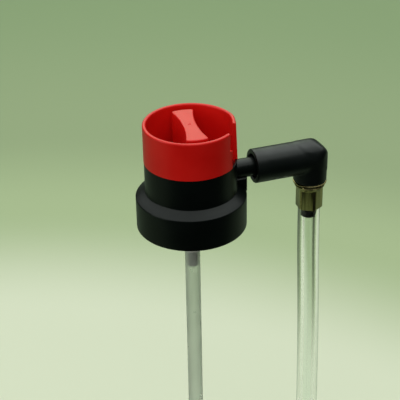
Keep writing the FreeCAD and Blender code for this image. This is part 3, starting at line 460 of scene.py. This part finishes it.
# Sinks the helical grooves in the tower's bore: r = bore + depth G, where G is 1 while the height
# is within half a groove of start + lead v / 360, for v from 0 to the groove's turn.
def cutLugGrooves(shape, values):
    v = values
    grid, wrapU, wrapV = shape
    radius = np.hypot(grid[..., 0], grid[..., 1])
    angle = np.degrees(np.arctan2(grid[..., 1], grid[..., 0])) % (360 / v["groovesRound"])
    middle = v["grooveStart"] + v["grooveLead"] * angle / 360
    edge = v["grooveHalf"] - np.abs(grid[..., 2] - middle)
    end = np.minimum(angle, v["grooveTurn"] - angle) * math.radians(1) * v["towerBore"]
    share = np.clip(np.minimum(edge, end) / v["grooveSoft"] + 0.5, 0, 1)
    share = np.where(np.abs(radius - v["towerBore"]) < 0.01, share, 0)
    scale = 1 + v["grooveDepth"] * share / v["towerBore"]
    return grid * np.stack([scale, scale, np.ones_like(scale)], axis=2), wrapU, wrapV


def makeCollar(values):
    v = values
    grooveRows = [(v["towerBore"], z) for z in np.linspace(v["grooveHigh"], v["grooveLow"], 30)]
    edge = v["edgeRound"]
    body = arcCorners([
        (v["skirtRadius"], 0, v["footRound"]),
        (v["skirtRadius"], v["skirtTop"], v["skirtRound"]),
        (v["towerRadius"], v["shoulderTop"], v["towerFootRound"]),
        (v["towerRadius"], v["towerTop"], v["towerTopRound"]),
        (v["socketRadius"], v["towerTop"]),
        (v["socketRadius"], v["socketFloor"]),
        (v["towerBore"], v["socketFloor"], v["towerTopRound"]),
        *grooveRows,
        (v["towerBore"], v["deckTop"], v["floorRound"]),
        (v["bossRadius"], v["deckTop"], v["floorRound"]),
        (v["bossRadius"], v["bossTop"], edge),
        (v["glandBore"], v["bossTop"]),
        (v["glandBore"], v["glandFloor"]),
        (v["plungerBore"], v["glandFloor"]),
        (v["plungerBore"], v["chamberTop"]),
        (v["chamberRadius"], v["chamberTop"]),
        (v["chamberRadius"], v["chamberBase"]),
        (v["stemBore"], v["chamberBase"]),
        (v["stemBore"], v["deckBase"]),
        (v["stemGlandBore"], v["deckBase"]),
        (v["stemGlandBore"], v["bossBase"]),
        (v["bossRadius"], v["bossBase"], edge),
        (v["bossRadius"], v["deckBase"]),
        (v["ledgeRadius"], v["deckBase"]),
        (v["ledgeRadius"], v["ceiling"]),
        (v["skirtBore"], v["ceiling"]),
        (v["skirtBore"], v["beadTop"]),
        (v["beadRadius"], v["beadHigh"], edge),
        (v["beadRadius"], v["beadLow"], edge),
        (v["skirtBore"], v["beadBase"]),
        (v["skirtBore"], 0, edge),
    ])
    spigot = arcCorners([
        (v["spigotRadius"], v["spigotStart"]),
        (v["spigotRadius"], v["sealGrooveLow"]),
        (v["sealGrooveRadius"], v["sealGrooveLow"]),
        (v["sealGrooveRadius"], v["sealGrooveHigh"]),
        (v["spigotRadius"], v["sealGrooveHigh"]),
        (v["spigotRadius"], v["spigotEnd"], v["spigotRound"]),
        (v["spigotBore"], v["spigotEnd"]),
        (v["spigotBore"], v["spigotStart"]),
        (v["outletBore"], v["spigotStart"]),
        (v["outletBore"], v["outletStart"]),
        (v["outletRadius"], v["outletStart"]),
        (v["outletRadius"], v["spigotStart"]),
    ])
    gusset = slopedRib(
        (v["gussetStart"], -v["gussetHalf"], v["gussetBase"]),
        (v["gussetEnd"], v["gussetHalf"], v["gussetTop"]), v["gussetRound"], *v["gussetSlope"])
    collar = makePiece("collarMoulding", [
        cutLugGrooves(lathe(refineLine(body, 2.0), 360), v),
        shift(layAlongX(lathe(spigot, 72)), (0, 0, v["spigotHeight"])),
        gusset,
    ])
    return dress(collar, blackPlastic, "valve_body", "black_plastic", "collar")


print("collar")
makeCollar(collarValues)


# Guard ring

guardValues = {
    "radius": 14.0, "bore": 12.85, "sleeveRadius": 13.25, "foot": 20.35, "base": 22.0, "top": 33.87,
    "rimRound": 0.52, "slotNear": -21.5, "slotFarLow": -46.5, "slotFarHigh": -51.7, "slotStep": 28.0,
    "stepBlend": 0.12, "stepClose": 0.3, "stepClear": 0.4, "lean": 0.42, "leanFrom": 6.0, "leanTo": -12.0,
}


# The wall's section line is carried round from the slot's near side to its far side: the angle at
# share s is near + (far(z) + 360 - near) s, where far(z) steps from low to high at the step's height,
# with its rows close together there. The two cut ends are filled by straight lines from the outer to
# the inner side. The free end by the slot leans in: r is less by lean (z - base) / (top - base) times
# the smooth step b b (3 - 2 b), where b runs from 0 to 1 between the two lean angles.
def guardGrids(values, sleeveRows=4, columns=220):
    v = values
    turn = np.linspace(0, math.pi / 2, 9)
    rim, step, close, clear = v["rimRound"], v["slotStep"], v["stepClose"], v["stepClear"]
    height = np.concatenate([
        np.linspace(v["foot"], v["base"], sleeveRows), np.linspace(v["base"], step - clear, 12),
        np.linspace(step - close, step + close, 13), np.linspace(step + clear, v["top"] - rim, 12)[:-1],
        v["top"] - rim + rim * np.sin(turn)])
    inset = np.zeros_like(height)
    inset[-len(turn):] = rim * (1 - np.cos(turn))
    outer = np.full_like(height, v["radius"]) - inset
    outer[:sleeveRows] = v["sleeveRadius"]
    across = np.concatenate([outer, (v["bore"] + inset)[::-1]])[:, None]
    along = np.concatenate([height, height[::-1]])[:, None]
    ease = np.clip((along - step) / v["stepBlend"] + 0.5, 0, 1)
    far = v["slotFarLow"] + (v["slotFarHigh"] - v["slotFarLow"]) * ease
    angle = np.radians(v["slotNear"] + (far + 360 - v["slotNear"]) * np.linspace(0, 1, columns))
    turned = (np.degrees(angle) + 180) % 360 - 180
    bend = np.clip((v["leanFrom"] - turned) / (v["leanFrom"] - v["leanTo"]), 0, 1)
    bend = bend * (turned > v["slotNear"] - 1)
    rise = np.clip((along - v["base"]) / (v["top"] - v["base"]), 0, 1)
    radius = across - v["lean"] * rise * bend * bend * (3 - 2 * bend)
    rows = np.broadcast_to(along, angle.shape)
    grid = np.stack([radius * np.cos(angle), radius * np.sin(angle), rows], axis=2)
    pairs = len(height)
    share = np.linspace(0, 1, 5)[None, :, None]
    ends = [grid[:pairs, c][:, None, :] * (1 - share) + grid[::-1][:pairs, c][:, None, :] * share
            for c in (0, -1)]
    return grid, ends


def makeGuardRing(values):
    grid, ends = guardGrids(values)
    surfaces = [(grid, True, False), (ends[0], False, False), (ends[1][:, ::-1], False, False)]
    return dress(makeShell("guardRing", surfaces), redPlastic, "valve_body", "red_plastic", "guard_ring")


print("guard ring")
makeGuardRing(guardValues)


# Knob

knobValues = {
    "floorRadius": 12.35, "floorTop": 20.0, "floorBase": 19.0, "barTop": 33.37, "barReach": 10.5,
    "endHalf": 3.42, "waistHalf": 2.1, "barAngle": 84.6, "barRound": 0.4, "barFoot": 19.3, "barRise": 21.0,
    "plungerRadius": 1.5, "plungerTip": 12.75, "plungerRound": 0.3, "dimpleRadius": 0.45,
    "dimpleDepth": 0.15, "lugRadius": 13.0, "lugHalfHeight": 0.4, "lugHalfAngle": 6.0,
    "lugPlace": 97.5, "lugs": 3, "lugSoft": 0.12, "rimMargin": 0.03,
}


# Closed outline of the bar: end arcs x^2 + y^2 = R^2 and hollow sides y = waist + S - sqrt(S^2 -
# x^2), joined at the corners, which are softened by P = (before + 2 P + after) / 4 a few times over.
def barOutline(values, softenings=3):
    v = values
    corner = math.sqrt(v["barReach"] ** 2 - v["endHalf"] ** 2)
    dip = v["endHalf"] - v["waistHalf"]
    sideRadius = (corner ** 2 + dip ** 2) / (2 * dip)
    x = np.linspace(corner, -corner, 60)[1:-1]
    upper = np.stack([x, v["waistHalf"] + sideRadius - np.sqrt(sideRadius ** 2 - x ** 2)], axis=1)
    y = np.linspace(-v["endHalf"], v["endHalf"], 24)
    right = np.stack([np.sqrt(v["barReach"] ** 2 - y ** 2), y], axis=1)
    outline = np.concatenate([right, upper, -right, -upper])
    for _ in range(softenings):
        outline = (np.roll(outline, 1, axis=0) + 2 * outline + np.roll(outline, -1, axis=0)) / 4
    return outline


# Pushes the floor's rim out into the lugs: r = R + (lug - R) G, where G is 1 within the lug's half
# angle of its place and its half height of the rim's middle.
def raiseLugs(shape, values):
    v = values
    grid, wrapU, wrapV = shape
    radius = np.hypot(grid[..., 0], grid[..., 1])
    pitch = 360 / v["lugs"]
    angle = np.degrees(np.arctan2(grid[..., 1], grid[..., 0])) - v["lugPlace"]
    angle = (angle + pitch / 2) % pitch - pitch / 2
    side = (v["lugHalfAngle"] - np.abs(angle)) * math.radians(1) * v["floorRadius"]
    level = v["lugHalfHeight"] - np.abs(grid[..., 2] - (v["floorBase"] + v["floorTop"]) / 2)
    share = np.clip(np.minimum(side, level) / v["lugSoft"] + 0.5, 0, 1)
    share = np.where(np.abs(radius - v["floorRadius"]) < 0.01, share, 0)
    scale = 1 + (v["lugRadius"] / v["floorRadius"] - 1) * share
    return grid * np.stack([scale, scale, np.ones_like(scale)], axis=2), wrapU, wrapV


# Walls follow the outline and turn inwards over the top's rounded edge; the top then runs in to the
# gate dimple: P = outline (1 - k) + circle k.
def makeBar(values):
    v = values
    outline = barOutline(v)
    ahead = np.roll(outline, -1, axis=0) - np.roll(outline, 1, axis=0)
    ahead /= np.linalg.norm(ahead, axis=1)[:, None]
    outward = np.stack([ahead[:, 1], -ahead[:, 0]], axis=1)
    turn = np.linspace(0, math.pi / 2, 8)
    inset = np.concatenate([[0.0, 0.0], v["barRound"] * (1 - np.cos(turn))])
    walls = outline[None, :, :] - outward[None, :, :] * inset[:, None, None]
    direction = outline / np.linalg.norm(outline, axis=1)[:, None]
    share = np.linspace(0, 1, 8)[1:, None, None]
    top = walls[-1][None, :, :] * (1 - share) + direction * v["dimpleRadius"] * share
    wellRadius = v["dimpleRadius"] * np.array([0.85, 0.6, 0.0])
    wellDepth = v["dimpleDepth"] * np.array([0.6, 1.0, 1.0])
    well = direction[None, :, :] * wellRadius[:, None, None]
    bottom = walls[0][None, :, :] * np.array([1.0, 0.0])
    flat = np.concatenate([bottom, walls, top, well])
    heights = np.concatenate([
        [v["barFoot"], v["barFoot"], v["barRise"]], v["barTop"] - v["barRound"] * (1 - np.sin(turn)),
        np.full(len(top), v["barTop"]), v["barTop"] - wellDepth])
    spin = math.radians(v["barAngle"])
    x = flat[..., 0] * math.cos(spin) - flat[..., 1] * math.sin(spin)
    y = flat[..., 0] * math.sin(spin) + flat[..., 1] * math.cos(spin)
    return np.stack([x, y, np.broadcast_to(heights[:, None], x.shape)], axis=2), False, True


def makeKnob(values):
    v = values
    rim = np.linspace(v["floorBase"] + v["rimMargin"], v["floorTop"] - v["rimMargin"], 24)
    floor = arcCorners([
        (0, v["plungerTip"]),
        (v["plungerRadius"], v["plungerTip"], v["plungerRound"]),
        (v["plungerRadius"], v["floorBase"], v["plungerRound"]),
        (v["floorRadius"], v["floorBase"]),
        *[(v["floorRadius"], z) for z in rim],
        (v["floorRadius"], v["floorTop"]),
        (0, v["floorTop"]),
    ])
    knob = makePiece("knobTurned", [raiseLugs(lathe(refineLine(floor, 1.5), 360), v), makeBar(v)])
    return dress(knob, redPlastic, "knob", "red_plastic", "knob")


print("knob")
makeKnob(knobValues)


# Elbow

elbowValues = {
    "mouth": 19.7, "reach": 38.86, "axisHeight": 15.8, "armRadius": 5.3, "legRadius": 5.2, "legBase": 7.8,
    "bevelRun": 4.1, "bevelRise": 3.55, "blend": 0.9, "mouthRound": 0.4, "boreRadius": 3.9,
    "boreDepth": 1.8, "neckRadius": 3.9, "neckBase": 6.8,
    "barbRadius": 1.53, "barbFoot": -5.2, "barbChamfer": 0.2,
    "flowBore": 0.8, "socketRadius": 3.05, "socketEnd": 30.0, "boreChamfer": 0.1, "mouthChamfer": 0.25,
    "crossBlend": 0.5, "trimRun": 1.5,
}


# max(a, b) with its crease rounded: max + h^2 / (4 k), h = max(k - |a - b|, 0).
def smoothMax(a, b, blend):
    gap = np.maximum(blend - np.abs(a - b), 0)
    return np.maximum(a, b) + gap * gap / (4 * blend)


# Below zero inside the elbow: the arm |(y, z - height)| - R and the leg |(x - reach, y)| - R, each
# trimmed by the other past the corner with a blend that grows over a short run, joined, and both
# trimmed by the bevel's plane ((x - a) rise + (z - b) run + run rise) / slope.
def elbowField(x, y, z, values):
    v = values
    arm = np.sqrt(y ** 2 + (z - v["axisHeight"]) ** 2) - v["armRadius"]
    leg = np.sqrt((x - v["reach"]) ** 2 + y ** 2) - v["legRadius"]
    blend = v["blend"]
    beyond = np.clip((x - v["reach"]) / v["trimRun"], 0, 1)
    above = np.clip((z - v["axisHeight"]) / v["trimRun"], 0, 1)
    armTrimmed = np.where(x > v["reach"], smoothMax(arm, leg, blend * beyond + 1e-3), arm)
    legTrimmed = np.where(z > v["axisHeight"], smoothMax(leg, arm, blend * above + 1e-3), leg)
    shell = -smoothMax(-armTrimmed, -legTrimmed, v["crossBlend"])
    run, rise = v["bevelRun"], v["bevelRise"]
    slope = math.hypot(run, rise)
    corner = (v["reach"] + v["legRadius"], v["axisHeight"] + v["armRadius"])
    bevel = ((x - corner[0]) * rise + (z - corner[1]) * run + run * rise) / slope
    return smoothMax(shell, bevel, blend)


# Section planes down the elbow: centre and the in-plane way "up", turning about the inner corner.
def elbowSections(values):
    v = values
    inner = np.array([v["reach"] - v["legRadius"], v["axisHeight"] - v["armRadius"]])
    armX = np.linspace(v["mouth"] + v["mouthRound"], inner[0], 40)
    turn = np.linspace(0, math.pi / 2, 60)[1:]
    legZ = np.linspace(inner[1], v["legBase"] + v["mouthRound"], 8)[1:]
    middle = (v["armRadius"] + v["legRadius"]) / 2
    centres = np.concatenate([
        np.stack([armX, np.full_like(armX, v["axisHeight"])], axis=1),
        inner + middle * np.stack([np.sin(turn), np.cos(turn)], axis=1),
        np.stack([np.full_like(legZ, v["reach"]), legZ], axis=1)])
    ups = np.concatenate([
        np.tile([0.0, 1.0], (len(armX), 1)), np.stack([np.sin(turn), np.cos(turn)], axis=1),
        np.tile([1.0, 0.0], (len(legZ), 1))])
    return centres, ups


# P(u, v) = C(u) + rho (up(u) cos v + Y sin v), where rho is found by halving steps so that the
# field is zero there. The rows at both ends round the edges, and then run in to the socket and the
# barb, whose rings meet at the flow bore.
def makeElbowShell(values, around=96, farthest=12.0, halvings=40):
    v = values
    centres, ups = elbowSections(v)
    angle = np.linspace(0, 2 * math.pi, around, endpoint=False)
    wayX = ups[:, 0][:, None] * np.cos(angle)
    wayZ = ups[:, 1][:, None] * np.cos(angle)
    wayY = np.broadcast_to(np.sin(angle), wayX.shape)
    low, high = np.zeros_like(wayX), np.full_like(wayX, farthest)
    for _ in range(halvings):
        rho = (low + high) / 2
        x, y, z = centres[:, 0][:, None] + rho * wayX, rho * wayY, centres[:, 1][:, None] + rho * wayZ
        inside = elbowField(x, y, z, v) < 0
        low, high = np.where(inside, rho, low), np.where(inside, high, rho)
    grid = np.stack([x, y, z], axis=2)
    soft = v["mouthRound"]
    turn = np.linspace(0, math.pi / 2, 7)[:-1, None, None]
    rise, inset = soft * (1 - np.cos(turn)), soft * (1 - np.sin(turn))
    axis = np.array([0, 0, v["axisHeight"]])
    mouthRows = axis + (grid[0] - axis) * np.array([0, 1, 1]) * (1 - inset / v["armRadius"])
    mouthRows = mouthRows + (v["mouth"] + rise) * np.array([1, 0, 0])
    post = np.array([v["reach"], 0, 0])
    footRows = post + (grid[-1] - post) * np.array([1, 1, 0]) * (1 - inset / v["legRadius"])
    footRows = (footRows + (v["legBase"] + rise) * np.array([0, 0, 1]))[::-1]
    cosine, sine, full = np.cos(angle), np.sin(angle), np.ones(around)

    def mouthRing(radius, x):
        return np.stack([x * full, radius * sine, v["axisHeight"] + radius * cosine], axis=1)

    def footRing(radius, z):
        return np.stack([v["reach"] + radius * cosine, radius * sine, z * full], axis=1)

    mouth, bore, seat = v["mouth"], v["boreRadius"], v["mouth"] + v["boreDepth"]
    socket = [
        mouthRing(v["flowBore"], v["socketEnd"]), mouthRing(v["socketRadius"], v["socketEnd"]),
        mouthRing(v["socketRadius"], seat), mouthRing(bore - v["boreChamfer"], seat),
        mouthRing(bore, seat - v["boreChamfer"]), mouthRing(bore, mouth + v["mouthChamfer"]),
        mouthRing(bore + v["mouthChamfer"], mouth)]
    barb = [
        footRing(v["neckRadius"], v["legBase"]), footRing(v["neckRadius"], v["neckBase"]),
        footRing(v["barbRadius"], v["neckBase"]),
        footRing(v["barbRadius"], v["barbFoot"] + v["barbChamfer"]),
        footRing(v["barbRadius"] - v["barbChamfer"], v["barbFoot"]),
        footRing(v["flowBore"], v["barbFoot"]), footRing(v["flowBore"], v["legBase"])]
    rows = np.concatenate([np.stack(socket), mouthRows, grid, footRows, np.stack(barb)])
    return rows, True, True


print("elbow")
elbow = makePiece("elbowMoulding", [makeElbowShell(elbowValues)], 32)
dress(elbow, elbowPlastic, "outlet", "black_plastic", "elbow")


# Ferrules

ferruleValues = {
    "bore": 3.52, "corner": 4.225, "flats": 7.65, "cornerSoft": 0.12,
    "top": {"axis": 38.86, "base": -1.8, "hexTop": 4.95, "shoulder": 5.45, "beadLow": 5.95, "beadHigh": 6.4,
            "beadRadius": 4.72, "waist": 6.75, "waistRadius": 4.5, "lipBase": 7.15, "lipTop": 7.7,
            "lipRadius": 5.25, "lipBore": 4.7, "lipRound": 0.2, "throat": 4.0, "seat": 6.8},
    "bottom": {"axis": 40.5, "base": -141.0, "rim": -140.0, "top": -132.3, "hole": 2.3},
}


# Six flats with rounded corners: smooth minimum of the corner radius and (flats / 2) / cos(a),
# where a is the angle from the nearest flat's middle.
def hexRadius(angle, corner, flats, soft):
    nearest = (angle + math.pi / 6) % (math.pi / 3) - math.pi / 6
    return -smoothMax(np.full_like(angle, -corner), -(flats / 2) / np.cos(nearest), soft)


# Rows are (radius, height, hex share): the wall's radius is r(v) = round + (hex(v) - corner) share,
# carried round the axis.
def crimpedSleeve(rows, along, values, turns=180):
    angle = np.linspace(0, 2 * math.pi, turns, endpoint=False)
    hexagon = hexRadius(angle, values["corner"], values["flats"], values["cornerSoft"])
    table = np.array(rows)
    radius = table[:, 0][:, None] + (hexagon - values["corner"])[None, :] * table[:, 2][:, None]
    height = np.broadcast_to(table[:, 1][:, None], radius.shape)
    grid = np.stack([along + radius * np.cos(angle), radius * np.sin(angle), height], axis=2)
    return grid, True, True


# Hexagon, shoulder, bead, waist and lip from below, and back through the throat to the bore. The
# small steps beside each named height and radius round its edge, and the lip's edge is an arc.
def makeTopFerrule(values):
    v, t = values, values["top"]
    corner = v["corner"]
    rows = [
        (v["bore"], t["base"], 0), (corner - 0.45, t["base"], 0.6), (corner - 0.15, t["base"] + 0.08, 0.9),
        (corner, t["base"] + 0.25, 1), (corner, t["hexTop"] - 0.12, 1),
        (corner - 0.02, t["hexTop"] + 0.12, 0.7),
        (corner + 0.03, t["shoulder"], 0), (t["beadRadius"] - 0.12, t["beadLow"] - 0.08, 0),
        (t["beadRadius"], t["beadLow"] + 0.1, 0), (t["beadRadius"], t["beadHigh"] - 0.1, 0),
        (t["beadRadius"] - 0.1, t["beadHigh"], 0), (t["waistRadius"], t["waist"] - 0.1, 0),
        (t["waistRadius"], t["waist"] + 0.1, 0), (t["lipRadius"] - 0.14, t["lipBase"] - 0.04, 0),
        (t["lipRadius"], t["lipBase"] + 0.1, 0),
    ]
    edge = [(t["lipRound"] * (1 - math.cos(a)), t["lipTop"] - t["lipRound"] * (1 - math.sin(a)))
            for a in np.linspace(0, math.pi / 2, 5)]
    rows += [(t["lipRadius"] - inset, height, 0) for inset, height in edge]
    rows += [(t["lipBore"] + inset, height, 0) for inset, height in edge[::-1]]
    rows += [(t["throat"], t["lipBase"], 0), (t["throat"], t["seat"], 0), (v["bore"], t["seat"], 0)]
    piece = makePiece("topFerrule", [crimpedSleeve(rows, t["axis"], v)])
    return dress(piece, brass, "outlet", "brass", "top_ferrule")


# A plain crimped sleeve with a floor, upside down: its hexagon softens towards both ends.
def makeBottomFerrule(values):
    v, b = values, values["bottom"]
    corner = v["corner"]
    rows = [
        (b["hole"], b["base"], 0), (corner - 0.45, b["base"], 0), (corner - 0.1, b["base"] + 0.15, 0.3),
        (corner, b["base"] + 0.45, 0.5), (corner, b["rim"], 1), (corner, b["top"] - 0.4, 1),
        (corner - 0.2, b["top"] - 0.12, 0.8), (corner - 0.5, b["top"], 0.4), (v["bore"], b["top"], 0),
        (v["bore"], b["rim"], 0), (b["hole"], b["rim"], 0)]
    piece = makePiece("bottomFerrule", [crimpedSleeve(rows, b["axis"], v)])
    return dress(piece, brass, "outlet", "brass", "bottom_ferrule")


print("ferrules")
makeTopFerrule(ferruleValues)
bottomFerrule = makeBottomFerrule(ferruleValues)


# Chuck nut

nutValues = {
    "axis": 40.5, "top": -142.0, "base": -156.0, "radius": 5.4, "chamfer": 0.9,
    "baseEdge": ((0.1, 0.35), (0.5, 0.0)), "neck": 2.35, "shoulder": -145.0, "chamber": 3.8,
    "threadTop": -149.5, "threadBase": -155.6, "threadRadius": 3.5, "threadMouth": 4.0, "pitch": 0.79,
    "threadDepth": 0.35, "flutes": 20, "fluteDepth": 0.3, "fluteTop": -143.0, "fluteBase": -154.8,
    "fluteRun": 0.5,
}


# Outside: r = R - d max(0, cos(n v))^2 s, where the share s falls to 0 over a short run at both ends
# of the flutes. Inside: the thread r = minor + depth |2 frac(z / pitch + v / 2 pi) - 1|.
def makeChuckNut(values, turns=240, wallRows=26, threadRows=78):
    v = values
    angle = np.linspace(0, 2 * math.pi, turns, endpoint=False)
    wall = np.linspace(v["top"] - v["chamfer"], v["base"] + v["chamfer"], wallRows)
    outside = np.array(
        [(v["radius"] - v["chamfer"], v["top"]), *[(v["radius"], z) for z in wall],
         *[(v["radius"] - inset, v["base"] + rise) for inset, rise in v["baseEdge"]]])
    outsideZ = outside[:, 1][:, None]
    share = np.clip((v["fluteTop"] - outsideZ) / v["fluteRun"], 0, 1)
    share = share * np.clip((outsideZ - v["fluteBase"]) / v["fluteRun"], 0, 1)
    wave = np.maximum(np.cos(v["flutes"] * angle), 0) ** 2
    outer = outside[:, 0][:, None] - v["fluteDepth"] * share * wave
    threadZ = np.linspace(v["threadBase"], v["threadTop"], threadRows)
    phase = threadZ[:, None] / v["pitch"] + angle / (2 * math.pi)
    thread = v["threadRadius"] + v["threadDepth"] * np.abs(2 * (phase % 1) - 1)
    inside = np.array([
        (v["chamber"], v["threadTop"] + 0.01), (v["chamber"], v["shoulder"]), (v["neck"], v["shoulder"]),
        (v["neck"], v["top"])])
    full = np.ones(turns)
    radius = np.concatenate([outer, [v["threadMouth"] * full], thread, inside[:, 0][:, None] * full])
    height = np.concatenate([outside[:, 1], [v["base"]], threadZ, inside[:, 1]])[:, None] * full
    grid = np.stack([v["axis"] + radius * np.cos(angle), radius * np.sin(angle), height], axis=2)
    piece = makePiece("chuckNut", [(grid, True, True)], 30)
    return dress(piece, brass, "nut", "brass", "chuck_nut")


print("chuck nut")
chuckNut = makeChuckNut(nutValues)


# Pieces that keep their solid

print("carried pieces")
finishes = {
    "gland_ring": blackRubber, "stem_seal": blackRubber, "cup_gasket": blackRubber,
    "stem_gasket": blackRubber, "spigot_ring": blackRubber, "chuck_washer": blackRubber,
    "gland_washer": springSteel, "stem_washer": springSteel, "return_spring": springSteel,
    "mounting_cup": tinplate, "valve_stem": whitePlastic, "valve_housing": whitePlastic,
    "dip_tube": dipPlastic, "chuck_body": brass, "core_pin": brass,
}
for node, finish in finishes.items():
    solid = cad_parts[node]
    solid.data.materials.clear()
    solid.data.materials.append(finish)


# Studio

# The floor's height is in millimetres, and the rest in metres and watts.
studioValues = {
    "floorHeight": -160.0, "floorHalf": 4.0, "floorRows": 9, "floorGloss": 0.8, "floorSpecular": 0.1,
    # The centre and stops below are a painted pool of light on the floor: lighter near the centre, darker
    # farther out.
    "paintedPoolCentre": (-0.13, -0.08, 0.0),
    "floorPaintedPool": [
        (0.30, (0.645, 0.665, 0.520)), (0.40, (0.375, 0.445, 0.262)), (0.50, (0.288, 0.352, 0.203)),
        (0.75, (0.245, 0.322, 0.176)), (2.0, (0.215, 0.290, 0.155)),
    ],
    # Painted shade: the floor is darker for all rays but the camera's and the tube's, as in a dark room.
    "floorPaintedShade": (0.14, 0.185, 0.12),
    # Painted shade: for the tube's refracted rays the floor fades to dim towards the hose's sides.
    "sideWay": (0.949, -0.314, 0.0), "sideClear": 0.13, "sideFaded": 0.30, "sideDim": 0.2,
    # Painted shade: for all but the camera's rays the floor fades in front of the object.
    "frontWay": (0.0, 1.0, 0.0), "frontClear": -0.05, "frontFaded": -0.16, "frontDim": 0.05,
    "worldColour": (0.90, 1.0, 0.93), "worldLight": 0.05,
    "lamps": {
        "topLight": {"place": (0.1, 0.3, 0.95), "size": 2.4, "power": 23.0, "colour": (0.92, 1.0, 0.95)},
        "keyLight": {"place": (0.35, 0.3, 0.95), "size": 0.7, "power": 1.8, "colour": (0.95, 1.0, 0.96)},
        "backLight": {"place": (0.2, 1.7, 1.0), "size": 1.2, "power": 4.5, "colour": (0.8, 1.0, 0.65)},
        "sideLight": {"place": (-1.1, -0.1, 0.35), "size": 0.7, "power": 2.4, "colour": (0.9, 1.0, 0.93)},
        "frontFill": {"place": (-0.3, -0.8, 0.5), "size": 0.9, "power": 3.9, "colour": (1.0, 0.97, 0.95),
                      "diffuseOnly": True},
    },
}


# A number from a place: its distance from a point, or its reach along a way.
def addMeasure(nodes, links, place, operation, other):
    measure = nodes.new("ShaderNodeVectorMath")
    measure.operation = operation
    measure.inputs[1].default_value = other
    links.new(place, measure.inputs[0])
    return measure.outputs["Value"]


# A colour times a number.
def addScaled(nodes, links, colour, share):
    scaled = nodes.new("ShaderNodeVectorMath")
    scaled.operation = "SCALE"
    links.new(colour, scaled.inputs[0])
    links.new(share, scaled.inputs["Scale"])
    return scaled.outputs["Vector"]


# Smooth step of a number: first up to low, second past high. The camera sees 1 everywhere.
def addFade(nodes, links, source, low, high, first, second, cameraRay):
    fade = nodes.new("ShaderNodeMapRange")
    fade.interpolation_type = "SMOOTHSTEP"
    for socket, value in (("From Min", low), ("From Max", high), ("To Min", first), ("To Max", second)):
        fade.inputs[socket].default_value = value
    links.new(source, fade.inputs["Value"])
    return addMath(nodes, links, "MAXIMUM", fade.outputs["Result"], cameraRay)


# Colour over stops of (distance, colour), eased between them.
def addStops(nodes, links, distance, stops):
    reach = stops[-1][0]
    ramp = nodes.new("ShaderNodeValToRGB")
    ramp.color_ramp.interpolation = "EASE"
    elements = ramp.color_ramp.elements
    for _ in stops[2:]:
        elements.new(0.5)
    for element, (stop, colour) in zip(elements, stops):
        element.position = stop / reach
        element.color = (*colour, 1)
    links.new(addMath(nodes, links, "DIVIDE", distance, reach), ramp.inputs["Fac"])
    return ramp.outputs["Color"]


# A table top whose colour runs over stops of the distance d = |P - centre| for the camera and the
# clear tube: a painted pool of light, lighter near its centre. The tube sees it fade to its sides,
# painted shade at the tube's edges. Other rays see a darker top, painted shade as in a dark room,
# and all but the camera's see it fade in front of the object, painted shade there too. Each fade is
# a smooth step along one way.
def floorMaterial(values):
    v = values
    material, nodes, links, shader, place = nodeMaterial("studioFloor")
    flat = stretchSpace(nodes, links, place, (1, 1, 0))
    rays = nodes.new("ShaderNodeLightPath").outputs
    camera = rays["Is Camera Ray"]
    # Painted pool of light: the floor's colour falls off with the distance from the pool's centre.
    colour = addStops(
        nodes, links, addMeasure(nodes, links, flat, "DISTANCE", v["paintedPoolCentre"]), v["floorPaintedPool"])
    # Painted shade: the floor fades towards the hose's sides for the tube's refracted rays.
    aside = addMath(
        nodes, links, "ABSOLUTE", addMeasure(nodes, links, flat, "DOT_PRODUCT", v["sideWay"]))
    sidePaintedShade = addFade(
        nodes, links, aside, v["sideClear"], v["sideFaded"], 1.0, v["sideDim"], camera)
    # Painted shade: the floor fades in front of the object for all rays but the camera's.
    ahead = addMeasure(nodes, links, flat, "DOT_PRODUCT", v["frontWay"])
    frontPaintedShade = addFade(
        nodes, links, ahead, v["frontFaded"], v["frontClear"], v["frontDim"], 1.0, camera)
    # Painted shade: rays other than the camera's and the tube's see the darker floor colour.
    blend = nodes.new("ShaderNodeMix")
    blend.data_type = "RGBA"
    blend.inputs["A"].default_value = (*v["floorPaintedShade"], 1)
    links.new(addScaled(nodes, links, colour, sidePaintedShade), blend.inputs["B"])
    links.new(addMath(nodes, links, "MAXIMUM", camera, rays["Is Transmission Ray"]), blend.inputs["Factor"])
    links.new(addScaled(nodes, links, blend.outputs["Result"], frontPaintedShade), shader.inputs["Base Color"])
    shader.inputs["Roughness"].default_value = v["floorGloss"]
    shader.inputs["Specular IOR Level"].default_value = v["floorSpecular"]
    return material


def makeFloor(values):
    rows = values["floorRows"]
    side = np.linspace(-values["floorHalf"], values["floorHalf"], rows)
    x, y = np.meshgrid(side, side, indexing="ij")
    grid = np.stack([x, y, np.full_like(x, values["floorHeight"] * mm)], axis=2)
    mesh = bpy.data.meshes.new("studioFloor")
    mesh.from_pydata(grid.reshape(-1, 3), [], gridFaces(rows, rows, False, False))
    mesh.materials.append(floorMaterial(values))
    floor = bpy.data.objects.new("studioFloor", mesh)
    bpy.context.scene.collection.objects.link(floor)


# A square lamp turned to the origin.
def addSoftLight(name, lamp):
    light = bpy.data.lights.new(name, "AREA")
    light.size = lamp["size"]
    light.energy = lamp["power"]
    light.color = lamp["colour"]
    holder = bpy.data.objects.new(name, light)
    holder.location = lamp["place"]
    away = mathutils.Vector(lamp["place"])
    holder.rotation_euler = away.to_track_quat("Z", "Y").to_euler()
    holder.visible_glossy = not lamp.get("diffuseOnly", False)
    bpy.context.scene.collection.objects.link(holder)


def makeStudio(values):
    makeFloor(values)
    for name, lamp in values["lamps"].items():
        addSoftLight(name, lamp)
    world = bpy.data.worlds.new("studioWorld")
    world.use_nodes = True
    background = world.node_tree.nodes["Background"]
    background.inputs["Color"].default_value = (*values["worldColour"], 1)
    background.inputs["Strength"].default_value = values["worldLight"]
    bpy.context.scene.world = world
    bpy.context.scene.view_settings.view_transform = "Standard"


print("studio")
makeStudio(studioValues)
